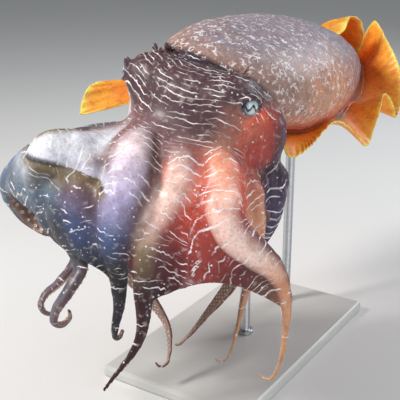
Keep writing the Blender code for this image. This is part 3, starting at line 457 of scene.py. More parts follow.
def fin_grid(side, steps, shares):
    """Middle surface of one fin: points over steps along its root and shares of its reach."""
    t = np.linspace(FIN_START, FIN_END, steps)
    root = mantle_points(t, np.radians(curve_through(*zip(*FIN_ROOT), t)))
    places = np.array([p for p, _ in FIN_WAVES[side]])
    y = np.clip(root[:, 1], places[0], places[-1])
    wave = np.radians(curve_through(places, [w for _, w in FIN_WAVES[side]], y))
    ends = np.minimum((t - FIN_START) / FIN_ROUNDING, 2 * (FIN_END - t) / FIN_ROUNDING)
    rounding = np.sqrt(1 - (1 - np.clip(ends, 0.02, 1)) ** 2)
    reach = curve_through(*zip(*FIN_REACHES[side]), y) * FIN_SPAN * rounding
    fan = np.radians(curve_through(*zip(*FIN_FANS[side]), y))
    level = np.stack([np.cos(fan), np.sin(fan), np.zeros_like(fan)], axis=1)
    up = np.array([0.0, 0.0, 1.0])
    grid = np.empty((steps, len(shares), 3))
    place = root + level * shares[0] * reach[:, None]
    grid[:, 0] = place
    for j in range(1, len(shares)):
        share = max(0.0, shares[j])
        bend = (wave * min(1.0, 0.45 + 0.75 * share))[:, None]
        way = level * np.cos(bend) + up * np.sin(bend)
        place = place + reach[:, None] * (shares[j] - shares[j - 1]) * way
        grid[:, j] = place
    if side == "right":
        grid[..., 0] *= -1
    return grid


# Arms and webs

def crown_frame():
    """Middle of the crown of arms, its axis, and its front and left directions."""
    axis = np.array([
        math.sin(CROWN_YAW),
        -math.cos(CROWN_DROP) * math.cos(CROWN_YAW),
        -math.sin(CROWN_DROP) * math.cos(CROWN_YAW)])
    front = np.array([0.0, -math.sin(CROWN_DROP), math.cos(CROWN_DROP)])
    return axis * CROWN_REACH, axis, front, np.cross(front, axis)


def curl_points(before, end, inward, degrees):
    """Points that wind the end of a route inwards on an arc."""
    ahead = unit(end - before)
    side = unit(inward - ahead * (inward @ ahead))
    turns = np.radians(degrees) * np.arange(1, CURL_STEPS + 1) / CURL_STEPS
    return [end + CURL_RADIUS * (ahead * math.sin(a) + side * (1 - math.cos(a))) for a in turns]


def arm_route(name):
    """Places along an arm, as shares of its length, and the points of its centre line, curl included."""
    angle, _, _, curl, route = ARMS[name]
    middle, axis, front, left = crown_frame()
    spoke = front * math.cos(math.radians(angle)) + left * math.sin(math.radians(angle))
    start = middle + spoke * CROWN_RING * 0.45 - axis * 0.004
    points = [start, middle + spoke * CROWN_RING, *(np.array(route) / 1000)]
    to_axis = middle + axis * ((points[-1] - middle) @ axis) - points[-1]
    points = np.array(points + curl_points(points[-2], points[-1], to_axis, curl))
    places = np.concatenate([[0.0], np.cumsum(np.linalg.norm(np.diff(points, axis=0), axis=1))])
    return places / places[-1], points, places[-1]


def arm_frames(name, at):
    """Frames of an arm at shares of its length: centre, direction, width and oral axes, half width, bend."""
    places, points, length = arm_route(name)
    middle, axis = crown_frame()[:2]
    at = np.asarray(at, float)
    small = 2e-3

    def heading(where):
        ahead = curve_through(places, points, where + small)
        return unit(ahead - curve_through(places, points, where - small))

    centres = curve_through(places, points, at)
    along = heading(at)
    bend = (heading(at + small) - heading(at - small)) / (2 * small * length)
    straight = heading(np.minimum(at, places[-CURL_STEPS - 1]))
    inwards = middle + axis * (((centres - middle) @ axis) + ORAL_AIM)[:, None] - centres
    across = unit(np.cross(straight, inwards))
    oral = unit(np.cross(across, along))
    across = np.cross(along, oral)
    if ARMS[name][2] < 0:
        turn = np.radians(curve_through(BLADE_PLACES, BLADE_TURNS, np.clip(at, 0, 1)))[:, None]
        c, s = np.cos(turn), np.sin(turn)
        across, oral = across * c + oral * s, oral * c - across * s
    taper = STOUT_TAPER if name in STOUT_ARMS else ARM_TAPER
    half = curve_through(ARM_PLACES, taper, np.clip(at, 0, 1)) * ARMS[name][1] / 2
    return centres, along, across, oral, half, bend


def arm_form(name, rows=170, sides=44):
    """Arm: flat towards the mouth, ridged outside, with a thin keel or blade to one side."""
    at = np.linspace(0, 1, rows) ** 0.9
    centres, along, across, oral, half, bend = arm_frames(name, at)
    keel = ARMS[name][2]
    outward = 1 if ARMS[name][0] > 0 else -1
    turn = 2 * np.pi * np.arange(sides)[None, :] / sides
    c, s = np.cos(turn), np.sin(turn)
    edge = (KEEL_PLACES, KEEL_SHARES) if keel > 0 else (BLADE_PLACES, BLADE_SHARES)
    shares = curve_through(*edge, at)
    reach = (abs(keel) * shares)[:, None]
    side = half[:, None] * np.where(c * keel > 0, 1 + reach, 1.0) * np.sign(c) * np.abs(c) ** 0.9
    depth = half[:, None] * 2 * np.where(s > 0, ARM_ABORAL * np.abs(s) ** 1.15, ARM_ORAL * np.abs(s) ** 0.7)
    offset = across[:, None] * (side * outward)[..., None] - oral[:, None] * (np.sign(s) * depth)[..., None]
    fold = np.einsum("ik,ijk->ij", bend, offset)
    offset *= np.where(fold > MOST_FOLD, MOST_FOLD / np.maximum(fold, 1e-9), 1.0)[..., None]
    return loft(centres[:, None] + offset)


def web_form(first, first_reach, second, second_reach, bulge, rows=70, columns=40):
    """Sheet between two arms, swollen outwards, with a hollow margin, and creased beside a bladed arm."""
    bladed = ARMS[first][2] < 0
    share = np.linspace(0, 1, columns)
    hollow = np.sin(np.pi * share)
    row = np.linspace(0, 1, rows)
    swell = bulge * ramp(row, *(SWELL_LATE if bladed else SWELL_EARLY))[:, None] * hollow
    if bladed:
        crease = FOLD_LEDGE * np.exp(-((row - 0.37) / 0.08) ** 2)
        crease -= FOLD_DIP * np.exp(-((row - 0.49) / 0.09) ** 2)
        swell = swell + crease[:, None] * np.maximum(hollow, 0) ** 0.5
    middle = np.empty((rows, columns, 3))
    for j, f in enumerate(share):
        back = 1 - WEB_HOLLOW * hollow[j]
        places = np.linspace(WEB_START, first_reach * back, rows)
        a = arm_frames(first, places)
        b = arm_frames(second, np.linspace(WEB_START, second_reach * back, rows))
        level = curve_through(FOLD_PLACES, FOLD_LEVELS, places) if bladed else np.full(rows, WEB_LEVEL)
        edge_a = a[0] - a[3] * (level * a[4])[:, None]
        edge_b = b[0] - b[3] * (WEB_LEVEL * b[4])[:, None]
        inward = unit(a[3] + b[3])
        middle[:, j] = edge_a * (1 - f) + edge_b * f - inward * swell[:, j:j + 1]
    return sheet(middle, WEB_THICK)


# Funnel, mouth and lids

def funnel_form():
    """Short tapered tube with an open bore, under the head."""
    way = unit(FUNNEL_END - FUNNEL_START)
    side = np.array([1.0, 0.0, 0.0])
    up = np.cross(side, way)
    around = circle(40, side, up)
    length = np.linalg.norm(FUNNEL_END - FUNNEL_START)
    steps = ((0.0, 0.0150), (0.4, 0.0144), (0.8, 0.0110), (0.97, 0.0104), (1.0, 0.0096), (1.0, 0.0072),
             (0.96, 0.0062), (0.5, 0.0056))
    return loft([FUNNEL_START + way * length * f + around * r for f, r in steps])


def mouth_form():
    """Rounded mouth with a ring of lip round the beak."""
    middle, axis, front, left = crown_frame()
    turn = 2 * np.pi * np.arange(60)[:, None] / 60
    pleats = 1 + 0.035 * np.cos(15 * turn)
    around = np.cos(turn) * front + np.sin(turn) * left
    profile = ((-0.012, 0.010, 0), (0.006, 0.0142, 0), (0.014, 0.0150, 0.3), (0.0195, 0.0128, 1),
               (0.0238, 0.0102, 1), (0.0245, 0.0082, 1), (0.0225, 0.0058, 1), (0.019, 0.0050, 0))
    return loft([
        middle + axis * (depth + MOUTH_DEPTH) + around * radius * (1 + (pleats - 1) * pleated)
        for depth, radius, pleated in profile])


def in_head(place, side):
    """Place of the head's left side, or its mirror image, in the turned head."""
    return HEAD_TURN @ np.array([place[0] * side, place[1], place[2]])


def eye_frame(side):
    """Centre of an eye and its axes: out of the head, along the lids' long way, and up."""
    look = unit(in_head(EYE_LOOK, side))
    along = unit(np.cross(in_head((0.0, 0.0, 1.0), side), look))
    return in_head(EYE_PLACE, side), look, along, np.cross(look, along)


def lid_opening(phi):
    """Angle from the eye's look to the lids' edge, all round."""
    return np.arctan2(1.0, np.hypot(np.cos(phi) / math.tan(LID_WIDE), np.sin(phi) / math.tan(LID_TALL)))


def lid_form(side):
    """Fold round the eye, thicker above, lying on the eyeball."""
    centre, look, along, up = eye_frame(side)
    phi = 2 * np.pi * np.arange(60) / 60
    opening = lid_opening(phi)
    radial = along * np.cos(phi)[:, None] + up * np.sin(phi)[:, None]
    ray = look * np.cos(opening)[:, None] + radial * np.sin(opening)[:, None]
    across = radial * np.cos(opening)[:, None] - look * np.sin(opening)[:, None]
    thick = 0.0020 + 0.0012 * np.maximum(0.0, np.sin(phi))
    middle = centre + ray * (EYE_RADIUS + 0.3 * thick)[:, None]
    turn = 2 * np.pi * np.arange(14)[None, :, None] / 14
    return ring_form(middle[:, None] + thick[:, None, None] * (
        np.cos(turn) * across[:, None] + np.sin(turn) * ray[:, None]))


# Meshes

def make_mesh(name, points, faces, finish=None):
    """Smooth object of the given points and faces, with its faces turned outwards."""
    mesh = bpy.data.meshes.new(name)
    mesh.from_pydata(np.asarray(points).tolist(), [], faces if isinstance(faces, list) else faces.tolist())
    shape = bmesh.new()
    shape.from_mesh(mesh)
    bmesh.ops.recalc_face_normals(shape, faces=shape.faces)
    shape.to_mesh(mesh)
    shape.free()
    obj = bpy.data.objects.new(name, mesh)
    bpy.context.scene.collection.objects.link(obj)
    if finish:
        mesh.materials.append(finish)
    mesh.shade_smooth()
    return obj


def joined(forms):
    """Points and faces of several closed forms as one."""
    points, faces, start = [], [], 0
    for some_points, some_faces in forms:
        points.append(some_points)
        faces += [[v + start for v in face] for face in some_faces]
        start += len(some_points)
    return np.concatenate(points), faces


def remeshed(forms, voxel):
    """Points and quads of the outer surface of overlapping closed forms."""
    obj = make_mesh("blank", *joined(forms))
    step = obj.modifiers.new("even", "REMESH")
    step.mode = "VOXEL"
    step.voxel_size = voxel
    mesh = obj.evaluated_get(bpy.context.evaluated_depsgraph_get()).to_mesh()
    points = np.empty(len(mesh.vertices) * 3)
    mesh.vertices.foreach_get("co", points)
    corners = np.empty(len(mesh.loops), int)
    mesh.loops.foreach_get("vertex_index", corners)
    quads = corners.reshape(-1, 4)
    bpy.data.objects.remove(obj)
    return points.reshape(-1, 3), quads


def edges_of(quads):
    pairs = np.concatenate([quads[:, [0, 1]], quads[:, [1, 2]], quads[:, [2, 3]], quads[:, [3, 0]]])
    pairs.sort(axis=1)
    keys = np.unique(pairs[:, 0].astype(np.int64) * (quads.max() + 1) + pairs[:, 1])
    return np.stack([keys // (quads.max() + 1), keys % (quads.max() + 1)], axis=1)


def smoothed(points, edges, weights, rounds):
    """Points drawn towards the mean of their neighbours, by weights, that many times."""
    points = points.copy()
    count = np.bincount(edges.ravel(), minlength=len(points))
    for _ in range(rounds):
        for axis in range(3):
            value = points[:, axis]
            total = np.bincount(edges[:, 0], value[edges[:, 1]], len(points))
            total += np.bincount(edges[:, 1], value[edges[:, 0]], len(points))
            points[:, axis] += weights * (total / count - value)
    return points


def normals_of(points, quads):
    a, b, c, d = (points[quads[:, k]] for k in range(4))
    face = np.cross(c - a, d - b)
    total = np.zeros_like(points)
    for k in range(4):
        for axis in range(3):
            total[:, axis] += np.bincount(quads[:, k], face[:, axis], len(points))
    return unit(total)


def arm_coordinates(points, normals):
    """Where points lie along the arms.

    First, for the nearest arm: its number, metres along it, signed metres across it, height over its middle
    towards the back over its half width, and how far the surface faces the mouth's side. Second, the distance
    to that arm over its half width. Third, for every arm: share of its length, height, distance, and place
    across it, all but the first over its half width.
    """
    best = np.full(len(points), 1e9)
    out = np.zeros((len(points), 5))
    shares = np.zeros((len(ARMS), 4, len(points)), np.float32)
    at = np.linspace(0, 1, 200)
    for number, name in enumerate(ARMS):
        centres, along, across, oral, half, bend = arm_frames(name, at)
        length = arm_route(name)[2]
        for low in range(0, len(points), 40000):
            some = points[low:low + 40000]
            near = squares_between(some, centres).argmin(axis=1)
            offset = some - centres[near]
            ratio = np.linalg.norm(offset, axis=1) / np.maximum(half[near], 0.004)
            height = -(offset * oral[near]).sum(1) / half[near]
            aside = (offset * across[near]).sum(1) / half[near]
            shares[number, :, low:low + 40000] = at[near], height, ratio, aside
            better = ratio < best[low:low + 40000]
            rows = np.nonzero(better)[0]
            index = near[rows]
            step = (offset[rows] * along[index]).sum(1)
            best[low + rows] = ratio[rows]
            out[low + rows, 0] = number
            out[low + rows, 1] = at[index] * length + step
            out[low + rows, 2] = (offset[rows] * across[index]).sum(1)
            out[low + rows, 3] = height[rows]
            out[low + rows, 4] = (normals[low + rows] * oral[index]).sum(1)
    return out, best, shares


def arm_share(coordinates):
    """Share of the nearest arm's length at each point."""
    lengths = np.array([arm_route(name)[2] for name in ARMS])
    return coordinates[:, 1] / lengths[coordinates[:, 0].astype(int)]


def arm_colour(shares):
    """Colour from all arms near a point, where each counts by how near it is."""
    total = np.zeros((shares.shape[2], 3))
    weights = np.zeros(shares.shape[2])
    for number, name in enumerate(ARMS):
        at, height, ratio, aside = shares[number].astype(float)
        turn = math.radians(RIDGE_TURNS[name])
        height = math.cos(turn) * height + math.sin(turn) * aside
        # Ridge tones carry a painted highlight and groove tones painted shade; the ridge's turn moves the
        # painted highlight to one flank
        ridge_stops_and_highlights = np.array([tone(colour) for colour in ARM_RIDGE_TONES_AND_HIGHLIGHTS[name]])
        groove_stops_and_shade = np.array([tone(colour) for colour in ARM_GROOVE_TONES_AND_SHADE[name]])
        ridge_tone_and_highlight = np.stack([np.interp(at, ARM_STOPS, ridge_stops_and_highlights[:, k]) for k in range(3)], axis=1)
        groove_tone_and_shade = np.stack([np.interp(at, ARM_STOPS, groove_stops_and_shade[:, k]) for k in range(3)], axis=1)
        weight = np.maximum(ratio, 0.25) ** -ARM_BLEND
        total += weight[:, None] * mix(groove_tone_and_shade, ridge_tone_and_highlight, ramp(height, 0.30, 0.92))
        weights += weight
    return total / weights[:, None]


# The skin

def blend_forms():
    """Stubby forms that fill the hollows between the head and the roots of the arms."""
    forms = []
    for name in ARMS:
        centres, along, across, oral, half, bend = arm_frames(name, np.array([0.10, 0.20, 0.30]))
        for place, back, size in zip(centres, oral, half):
            forms.append(ball(place - back * 0.15 * size, (0.82 * size,) * 3, 24))
    return forms


def flesh_blank():
    """Head, crown, arm roots and webs as one mass, softened so that the arms flow out of the head."""
    forms = [ball(c, np.array(r) * 1.03) for c, r in HEAD_FORMS]
    forms = [(points @ HEAD_TURN.T, faces) for points, faces in forms]
    forms += blend_forms()
    forms += [arm_form(name, 90, 28) for name in ARMS]
    forms += [web_form(*spans, 40, 24) for spans in WEBS.values()]
    points, quads = remeshed(forms, BLANK_VOXEL)
    coordinates = arm_coordinates(points, points)[0]
    weights = 0.5 * (1 - 0.92 * ramp(arm_share(coordinates), 0.12, 0.30))
    points = smoothed(points, edges_of(quads), weights, BLANK_ROUNDS)
    return points, quads.tolist()


def flap_forms():
    """Three flat skin flaps over each eye."""
    forms = []
    for side in (1, -1):
        for place, lean, size in FLAPS:
            points, faces = ball((0, 0, 0), (0.0017, 0.0040 * size, 0.0060 * size), 20)
            turn = np.array(Euler((lean, 0.35 * side, 0.2 * side)).to_matrix())
            forms.append((points @ turn.T + in_head(place, side), faces))
    return forms


def lattice_noise(points, scale, seed):
    """Smooth noise between -1 and 1 with features of the given size."""
    p = points / scale
    cell = np.floor(p).astype(np.int64)
    f = p - cell
    f = f * f * (3 - 2 * f)
    total = np.zeros(len(points))
    for corner in range(8):
        step = np.array([corner & 1, corner >> 1 & 1, corner >> 2 & 1])
        c = cell + step
        h = (c[:, 0] * 374761393 + c[:, 1] * 668265263 + c[:, 2] * 2147483647 + seed * 974711) & 0xFFFFFFFF
        h = ((h ^ (h >> 13)) * 1274126177) & 0xFFFFFFFF
        h = (h ^ (h >> 16)) / 0xFFFFFFFF
        total += h * np.prod(np.where(step, f, 1 - f), axis=1)
    return 2 * total - 1


def fin_thickness(shares):
    return np.interp(shares, (-0.12, 0.0, 0.22, 1.0), (0.0046, 0.0040, 0.0022, 0.0010))


def open_eyes(points):
    """Draws the skin inside the lids back behind the eyeball."""
    for side in (1, -1):
        centre, look, along, up = eye_frame(side)
        offset = points - centre
        far = np.linalg.norm(offset, axis=1)
        angle = np.arccos(np.clip(offset @ look / far, -1, 1))
        phi = np.arctan2(offset @ up, offset @ along)
        share = ramp(lid_opening(phi) - 0.06 - angle, 0.0, 0.10) * (far < 0.03)
        target = np.minimum(far, EYE_RADIUS - 0.0012)
        points = centre + offset * ((far + (target - far) * share) / far)[:, None]
    return points


def on_mantle(points):
    """How far a point is behind the plane of the mantle's rim, in metres; above zero on the mantle."""
    t = np.clip((points[:, 1] - MANTLE_FRONT) / (MANTLE_BACK - MANTLE_FRONT), 0, 1)
    z = points[:, 2] - curve_through(MANTLE_STATIONS, MANTLE_MIDDLE, t)
    lobe = NAPE_LOBE * np.clip(z / 0.028, 0, 1) ** 6
    return points[:, 1] + MANTLE_SLANT * (1 - t) ** 2.2 * z + lobe - MANTLE_FRONT


def fin_coordinates(points):
    """Share of a fin's reach at each point, and the distance to that fin."""
    shares = np.linspace(0, 1, 14)
    share = np.zeros(len(points))
    best = np.full(len(points), 1e9)
    for side in ("left", "right"):
        grid = fin_grid(side, 130, shares).reshape(-1, 3)
        rows = np.nonzero(points[:, 1] > 0.04)[0]
        for low in range(0, len(rows), 8000):
            some = rows[low:low + 8000]
            far = squares_between(points[some], grid)
            near = far.argmin(axis=1)
            distance = np.sqrt(np.maximum(far[np.arange(len(some)), near], 0))
            better = distance < best[some]
            best[some[better]] = distance[better]
            share[some[better]] = shares[near[better] % len(shares)]
    return share, best


def tone(name):
    """Colour of the palette in the renderer's own values."""
    value = np.array(COLOURS[name]) / 255
    return np.where(value < 0.04045, value / 12.92, ((value + 0.055) / 1.055) ** 2.4)


def mix(a, b, share):
    return a + (b - a) * np.asarray(share)[:, None]


def layered(colour, *layers):
    """Colour with others laid over it in turn, each by its share."""
    for name, share in layers:
        colour = mix(colour, tone(name), share)
    return colour


def near(points, centre, radii):
    """1 at the centre of an ellipsoid, falling smoothly to 0 at its surface."""
    far = np.linalg.norm((points - np.array(centre)) / np.array(radii), axis=1)
    return 1 - ramp(far, 0.35, 1.0)


def near_side(points, side, patch):
    place, radii = patch
    return near(points, in_head(place, side), radii)


def beside(points, route):
    """Distance to a line through the route's points, and how far a point is above the nearest place on it."""
    far = np.full(len(points), 1e9)
    over = np.zeros(len(points))
    places = np.linspace(0, len(route) - 1, 40)
    for place in curve_through(np.arange(len(route)), route, places):
        offset = points - place
        distance = np.linalg.norm(offset * CREASE_FLAT, axis=1)
        closer = distance < far
        far[closer] = distance[closer]
        over[closer] = offset[closer, 2]
    return far, over


def mantle_colour(points, soft, fine, back, low, fin_far):
    """Tan with orange blotches, grey on top, purple behind darkened by painted shade, pale below and paler
    still by painted light there, and red beside the fins.
    """
    y, z = points[:, 1:].T
    lip = 1 - ramp(np.abs(on_mantle(points)), 0.002, 0.012)
    return layered(
        tone("mantle_front"),
        ("mantle_side", ramp(y + 0.02 * soft, 0.03, 0.14)),
        # Purple towards the tail: the skin's tone, darkened as painted shade
        ("mantle_tail_tone_and_shade", back * 0.85),
        ("mantle_blotch", ramp(soft + fine, 0.1, 1.0) * (1 - back) * 0.5),
        ("mantle_top", ramp(z + 0.008 * soft, 0.018, 0.05) * 0.75),
        # Pale underside: the animal's own pale belly, made paler as painted light from below
        ("mantle_under_pale_and_lit", low * (1 - 0.6 * back) * 0.8),
        ("beside_fin", (1 - ramp(fin_far, 0.004, 0.026)) * low * 0.7),
        ("mantle_rim", lip * 0.75 * ramp(z, -0.01, 0.02)))


def head_colour(points, soft):
    """Dark brown, blotched, darkest in the nape, with orange-red cheeks."""
    colour = layered(
        tone("head"),
        ("head_low", ramp(-points[:, 2], 0.016, 0.050)),
        ("head_blotch", ramp(soft, 0.0, 0.8) * 0.75),
        ("nape", near(points, *DARK_NAPE) * 0.8))
    for side in (1, -1):
        colour = layered(
            colour,
            ("cheek", near_side(points, side, CHEEK) * 0.95),
            ("under_eye", near_side(points, side, UNDER_EYE) * 0.9))
    return colour


def fin_colour(outward, soft, fine):
    """Red at the root to orange and a yellow rim, streaked."""
    return layered(
        tone("fin_root"),
        ("fin_middle", ramp(outward, 0.04, 0.42)),
        ("fin_outer", ramp(outward, 0.4, 0.85)),
        ("fin_rim", ramp(outward, 0.90, 0.985)),
        ("fin_streak", ramp(soft + 0.5 * fine, 0.1, 1.1) * 0.45))


def line_places(points, coordinates, is_arm, is_mantle):
    """Places along and across the white lines: rings round the head, sagging bars on the arms."""
    x, y, z = points.T
    number, along, across = coordinates[:, :3].T
    ahead = -0.75 * z - 0.66 * y + 0.4 * np.hypot(x, 0.015)
    lines = np.stack([ahead / HEAD_LINE_SPACING, 0.055 * np.arctan2(x, 0.045 - y), 0 * x], axis=1)
    sag = ARM_LINE_SAG * np.clip(across / 0.018, -1.6, 1.6) ** 2
    on_arm = np.stack([(along - sag) / ARM_LINE_SPACING, across + 0.37 * number, 0 * x], axis=1)
    lines = np.where((is_arm > 0.5)[:, None], on_arm, lines)
    round_mantle = np.stack([y, 0.062 * np.arctan2(x, z), 0 * x], axis=1)
    return np.where((is_mantle > 0.5)[:, None], round_mantle, lines)


def skin_colour(points, coordinates, ratio, shares, fin_share, fin_far):
    """Colour of the skin, density and places of its white lines, and shares of mantle, fin and freckles."""
    y, z = points[:, 1:].T
    soft = lattice_noise(points, 0.022, 1)
    fine = lattice_noise(points, 0.007, 2)
    back = ramp(y + 0.02 * soft, 0.13, 0.25)
    low = ramp(-z - 0.35 * soft * 0.03, -0.004, 0.034)

    along, facing = coordinates[:, 1], coordinates[:, 4]
    far, over = beside(points, CREASE)
    # Painted light along the crease: a painted highlight above it, a painted shadow below it and dark painted
    # shade in its line
    arms = layered(
        arm_colour(shares),
        ("painted_highlight_over_crease", (1 - ramp(far, 0.004, 0.016)) * (over > 0) * 0.6),
        ("painted_shade_under_crease", (1 - ramp(far, 0.004, 0.014)) * (over <= 0) * 0.8),
        ("crease", (1 - ramp(far, 0.0012, 0.0042)) * 0.85))
    arms = mix(arms, arms * 0.72, ramp(soft, 0.1, 0.9) * 0.4)
    oral = ramp(facing, 0.30, 0.65) * ramp(along, 0.02, 0.05)
    arms = mix(arms, tone("mouth_side"), oral * 0.7)

    is_arm = ramp(along + 0.010 * soft, 0.018, 0.055) * ramp(3.4 - ratio, 0.0, 0.8)
    is_arm *= 1 - ramp(y, 0.05, 0.07)
    is_mantle = ramp(on_mantle(points), -0.0035, -0.0005)
    outward = np.clip(fin_share, 0, 1)
    fin = (1 - ramp(fin_far, 0.0032, 0.0060)) * ramp(outward + 0.02 * soft, 0.0, 0.06)
    colour = mix(head_colour(points, soft), arms, is_arm)
    colour = mix(colour, mantle_colour(points, soft, fine, back, low, fin_far), is_mantle)
    colour = mix(colour, fin_colour(outward, soft, fine), fin)

    dash = 0.85 * (1 - is_arm) + is_arm * (0.9 - 0.55 * ramp(arm_share(coordinates), 0.45, 0.8))
    dash = dash * (1 - 0.45 * (1 - ramp(far, 0.03, 0.07)) * (over <= 0))
    dash = dash * (1 - oral) * (1 - 0.75 * is_mantle) * (1 - fin)
    for side in (1, -1):
        dash *= 1 - 0.85 * near_side(points, side, PLAIN_CHEEK)
    lines = line_places(points, coordinates, is_arm, is_mantle)
    freckle = is_mantle * (1 - fin) * (1 - 0.8 * low) * (1 - 0.6 * back)
    return colour, np.clip(dash, 0, 1), lines, is_mantle, fin, freckle


def lumps(points, kind, seed):
    size, rise = kind
    return rise * lattice_noise(points, size, seed)


def warts(points, kind, seed, least):
    size, rise = kind
    return rise * np.maximum(0, lattice_noise(points, size, seed) - least)


def relief(points, normals, coordinates, is_mantle, fin):
    """Small forms of the skin, moved along its normals: lumps, warts and folds in the nape."""
    y, z = points[:, 1:].T
    top = ramp(z, -0.012, 0.012) * (1 - is_mantle) * (1 - ramp(-y, 0.035, 0.06))
    move = top * (lumps(points, HEAD_LUMPS, 11) + warts(points, HEAD_WARTS, 12, 0.25))
    size, rise = NAPE_FOLDS
    nape = near(points, *FOLDED_NAPE) * (1 - is_mantle)
    move += nape * rise * np.sin(y / size + 2.2 * lattice_noise(points, 0.012, 13))
    body = is_mantle * (1 - fin)
    move += body * (lumps(points, MANTLE_LUMPS, 14) + warts(points, MANTLE_WARTS, 15, 0.35))
    arms = (1 - is_mantle) * (1 - fin) * ramp(coordinates[:, 1], 0.03, 0.06)
    arms *= ramp(coordinates[:, 3], -0.1, 0.2)
    move += arms * lumps(points, ARM_LUMPS, 16)
    return points + normals * move[:, None]


def skin_surface():
    """Points and quads of the whole skin but the fins' outer parts, in the body frame."""
    forms = [flesh_blank(), mantle_form(), funnel_form(), mouth_form()]
    forms += [arm_form(name) for name in ARMS]
    forms += [web_form(*spans) for spans in WEBS.values()]
    forms += [lid_form(side) for side in (1, -1)]
    forms += flap_forms()
    strip = np.linspace(-0.12, 0.22, 12)
    forms += [sheet(fin_grid(side, 260, strip), fin_thickness(strip) + 0.0005) for side in ("left", "right")]
    points, quads = remeshed(forms, VOXEL)
    edges = edges_of(quads)
    for pull in (0.6, -0.62) * 3:
        points = smoothed(points, edges, np.full(len(points), pull), 1)
    crown = near(points, (0.005, -0.03, -0.05), (0.12, 0.12, 0.09))
    eyes = sum(near(points, eye_frame(side)[0], (0.03,) * 3) for side in (1, -1))
    mouth = near(points, crown_frame()[0] + crown_frame()[1] * 0.038, (0.03,) * 3)
    points = smoothed(points, edges, 0.5 * crown * np.clip(1 - 2 * eyes - 2 * mouth, 0, 1), 10)
    return open_eyes(points), quads


def fin_surface(side, steps=520, columns=60):
    """Outer part of a fin as a closed sheet with a finely rippled rim."""
    shares = np.linspace(-0.06, 1.0, columns)
    middle = fin_grid(side, steps, shares)
    run = np.linspace(0, 1, steps)[:, None]
    wave = np.sin(2 * np.pi * FIN_RIPPLES * run + 3 * np.sin(2 * np.pi * 7 * run))
    ripple = wave * FIN_RIPPLE_RISE * ramp(shares, 0.55, 1.0)
    points, faces = sheet(middle + grid_normals(middle) * ripple[..., None], fin_thickness(shares))
    return points, np.array(faces), np.tile(shares, 2 * steps)


def store(mesh, name, kind, values):
    layer = mesh.attributes.new(name, kind, "POINT")
    field = {"FLOAT": "value", "FLOAT_VECTOR": "vector", "FLOAT_COLOR": "color"}[kind]
    layer.data.foreach_set(field, np.ascontiguousarray(values, dtype=np.float32).ravel())


def placed(points):
    """Points of the body frame in their place over the stand."""
    turn = np.array(BODY)
    return points @ turn[:3, :3].T + turn[:3, 3]


def build_skin(finish):
    points, quads = skin_surface()
    coordinates, ratio, shares = arm_coordinates(points, normals_of(points, quads))
    fin_share, fin_far = fin_coordinates(points)
    colour, dash, lines, is_mantle, fin, freckle = skin_colour(
        points, coordinates, ratio, shares, fin_share, fin_far)
    points = relief(points, normals_of(points, quads), coordinates, is_mantle, fin)
    surface = BVHTree.FromPolygons(points.tolist(), quads.tolist())
    parts = [(points, quads, colour, dash, lines, fin, freckle, fin_share)]
    for side in ("left", "right"):
        edge_points, edge_quads, share = fin_surface(side)
        count = len(edge_points)
        none = np.zeros(count)
        far_arms = np.ones((len(ARMS), 4, count))
        no_arm = np.zeros((count, 5))
        colour, dash, lines = skin_colour(edge_points, no_arm, none + 9, far_arms, share, none)[:3]
        parts.append((edge_points, edge_quads, colour, none, lines, none + 1, none, share))
    starts = np.cumsum([0] + [len(part[0]) for part in parts])
    together = [np.concatenate([part[k] for part in parts]) for k in range(8) if k != 1]
    body, colour, dash, lines, fin, freckle, reach = together
    all_quads = np.concatenate([part[1] + start for part, start in zip(parts, starts)])
    skin = make_mesh("cuttlefish_skin", placed(body), all_quads, finish)
    store(skin.data, "tint", "FLOAT_COLOR", np.c_[colour, np.ones(len(body))])
    for name, values in (("body", body), ("lines", lines)):
        store(skin.data, name, "FLOAT_VECTOR", values)
    for name, values in (("dash", dash), ("fin", fin), ("freckle", freckle), ("reach", reach)):
        store(skin.data, name, "FLOAT", values)
    return skin, surface


# Suckers

SUCKER_PROFILE = ((-0.9, 0.62), (0.0, 0.72), (0.35, 0.70), (0.70, 0.92), (0.92, 1.0), (1.0, 0.90),
                  (0.96, 0.74), (0.62, 0.56), (0.50, 0.30))
SUCKER_START = 0.13
SUCKER_END = 0.99
SUCKER_LANES = ((-0.66, 0.22), (-0.22, 0.66))


def sucker_surface(foot, axis, radius, sides):
    side = unit(np.cross(axis, (0.31, 0.77, 0.55)))
    other = np.cross(axis, side)
    around = circle(sides, side, other)
    return loft([
        foot + axis * height * radius * 0.85 + around * radius * wide for height, wide in SUCKER_PROFILE])


def build_suckers(surface, finish):
    """Cups in four staggered rows along each arm, two towards its tip, set on the skin."""
    draws = np.random.default_rng(3)
    pieces = []
    for name in ARMS:
        length = arm_route(name)[2]
        share, row, forms = SUCKER_START, 0, []
        while share < SUCKER_END:
            centre, along, across, oral, half, bend = (v[0] for v in arm_frames(name, [share]))
            radius = max(0.135 * half, 0.00055)
            for lane in SUCKER_LANES[row % 2]:
                if half < 0.006 and abs(lane) > 0.5:
                    continue
                size = radius * draws.uniform(0.88, 1.08) * (0.86 if abs(lane) > 0.5 else 1.0)
                start = centre + across * lane * half + oral * (half + 0.004)
                hit, normal, face, far = surface.ray_cast(Vector(start), Vector(-oral), half + 0.006)
                if hit is None or normal.dot(Vector(oral)) < 0.35:
                    continue
                forms.append(sucker_surface(np.array(hit), unit(np.array(normal) + oral), size, 14))
            share += max(2.25 * radius, 0.0021) / length
            row += 1
        piece = make_mesh(f"suckers_{name}", *joined(forms), finish)
        piece.data.transform(BODY)
        pieces.append(piece)
    return pieces


# Eyes and beak

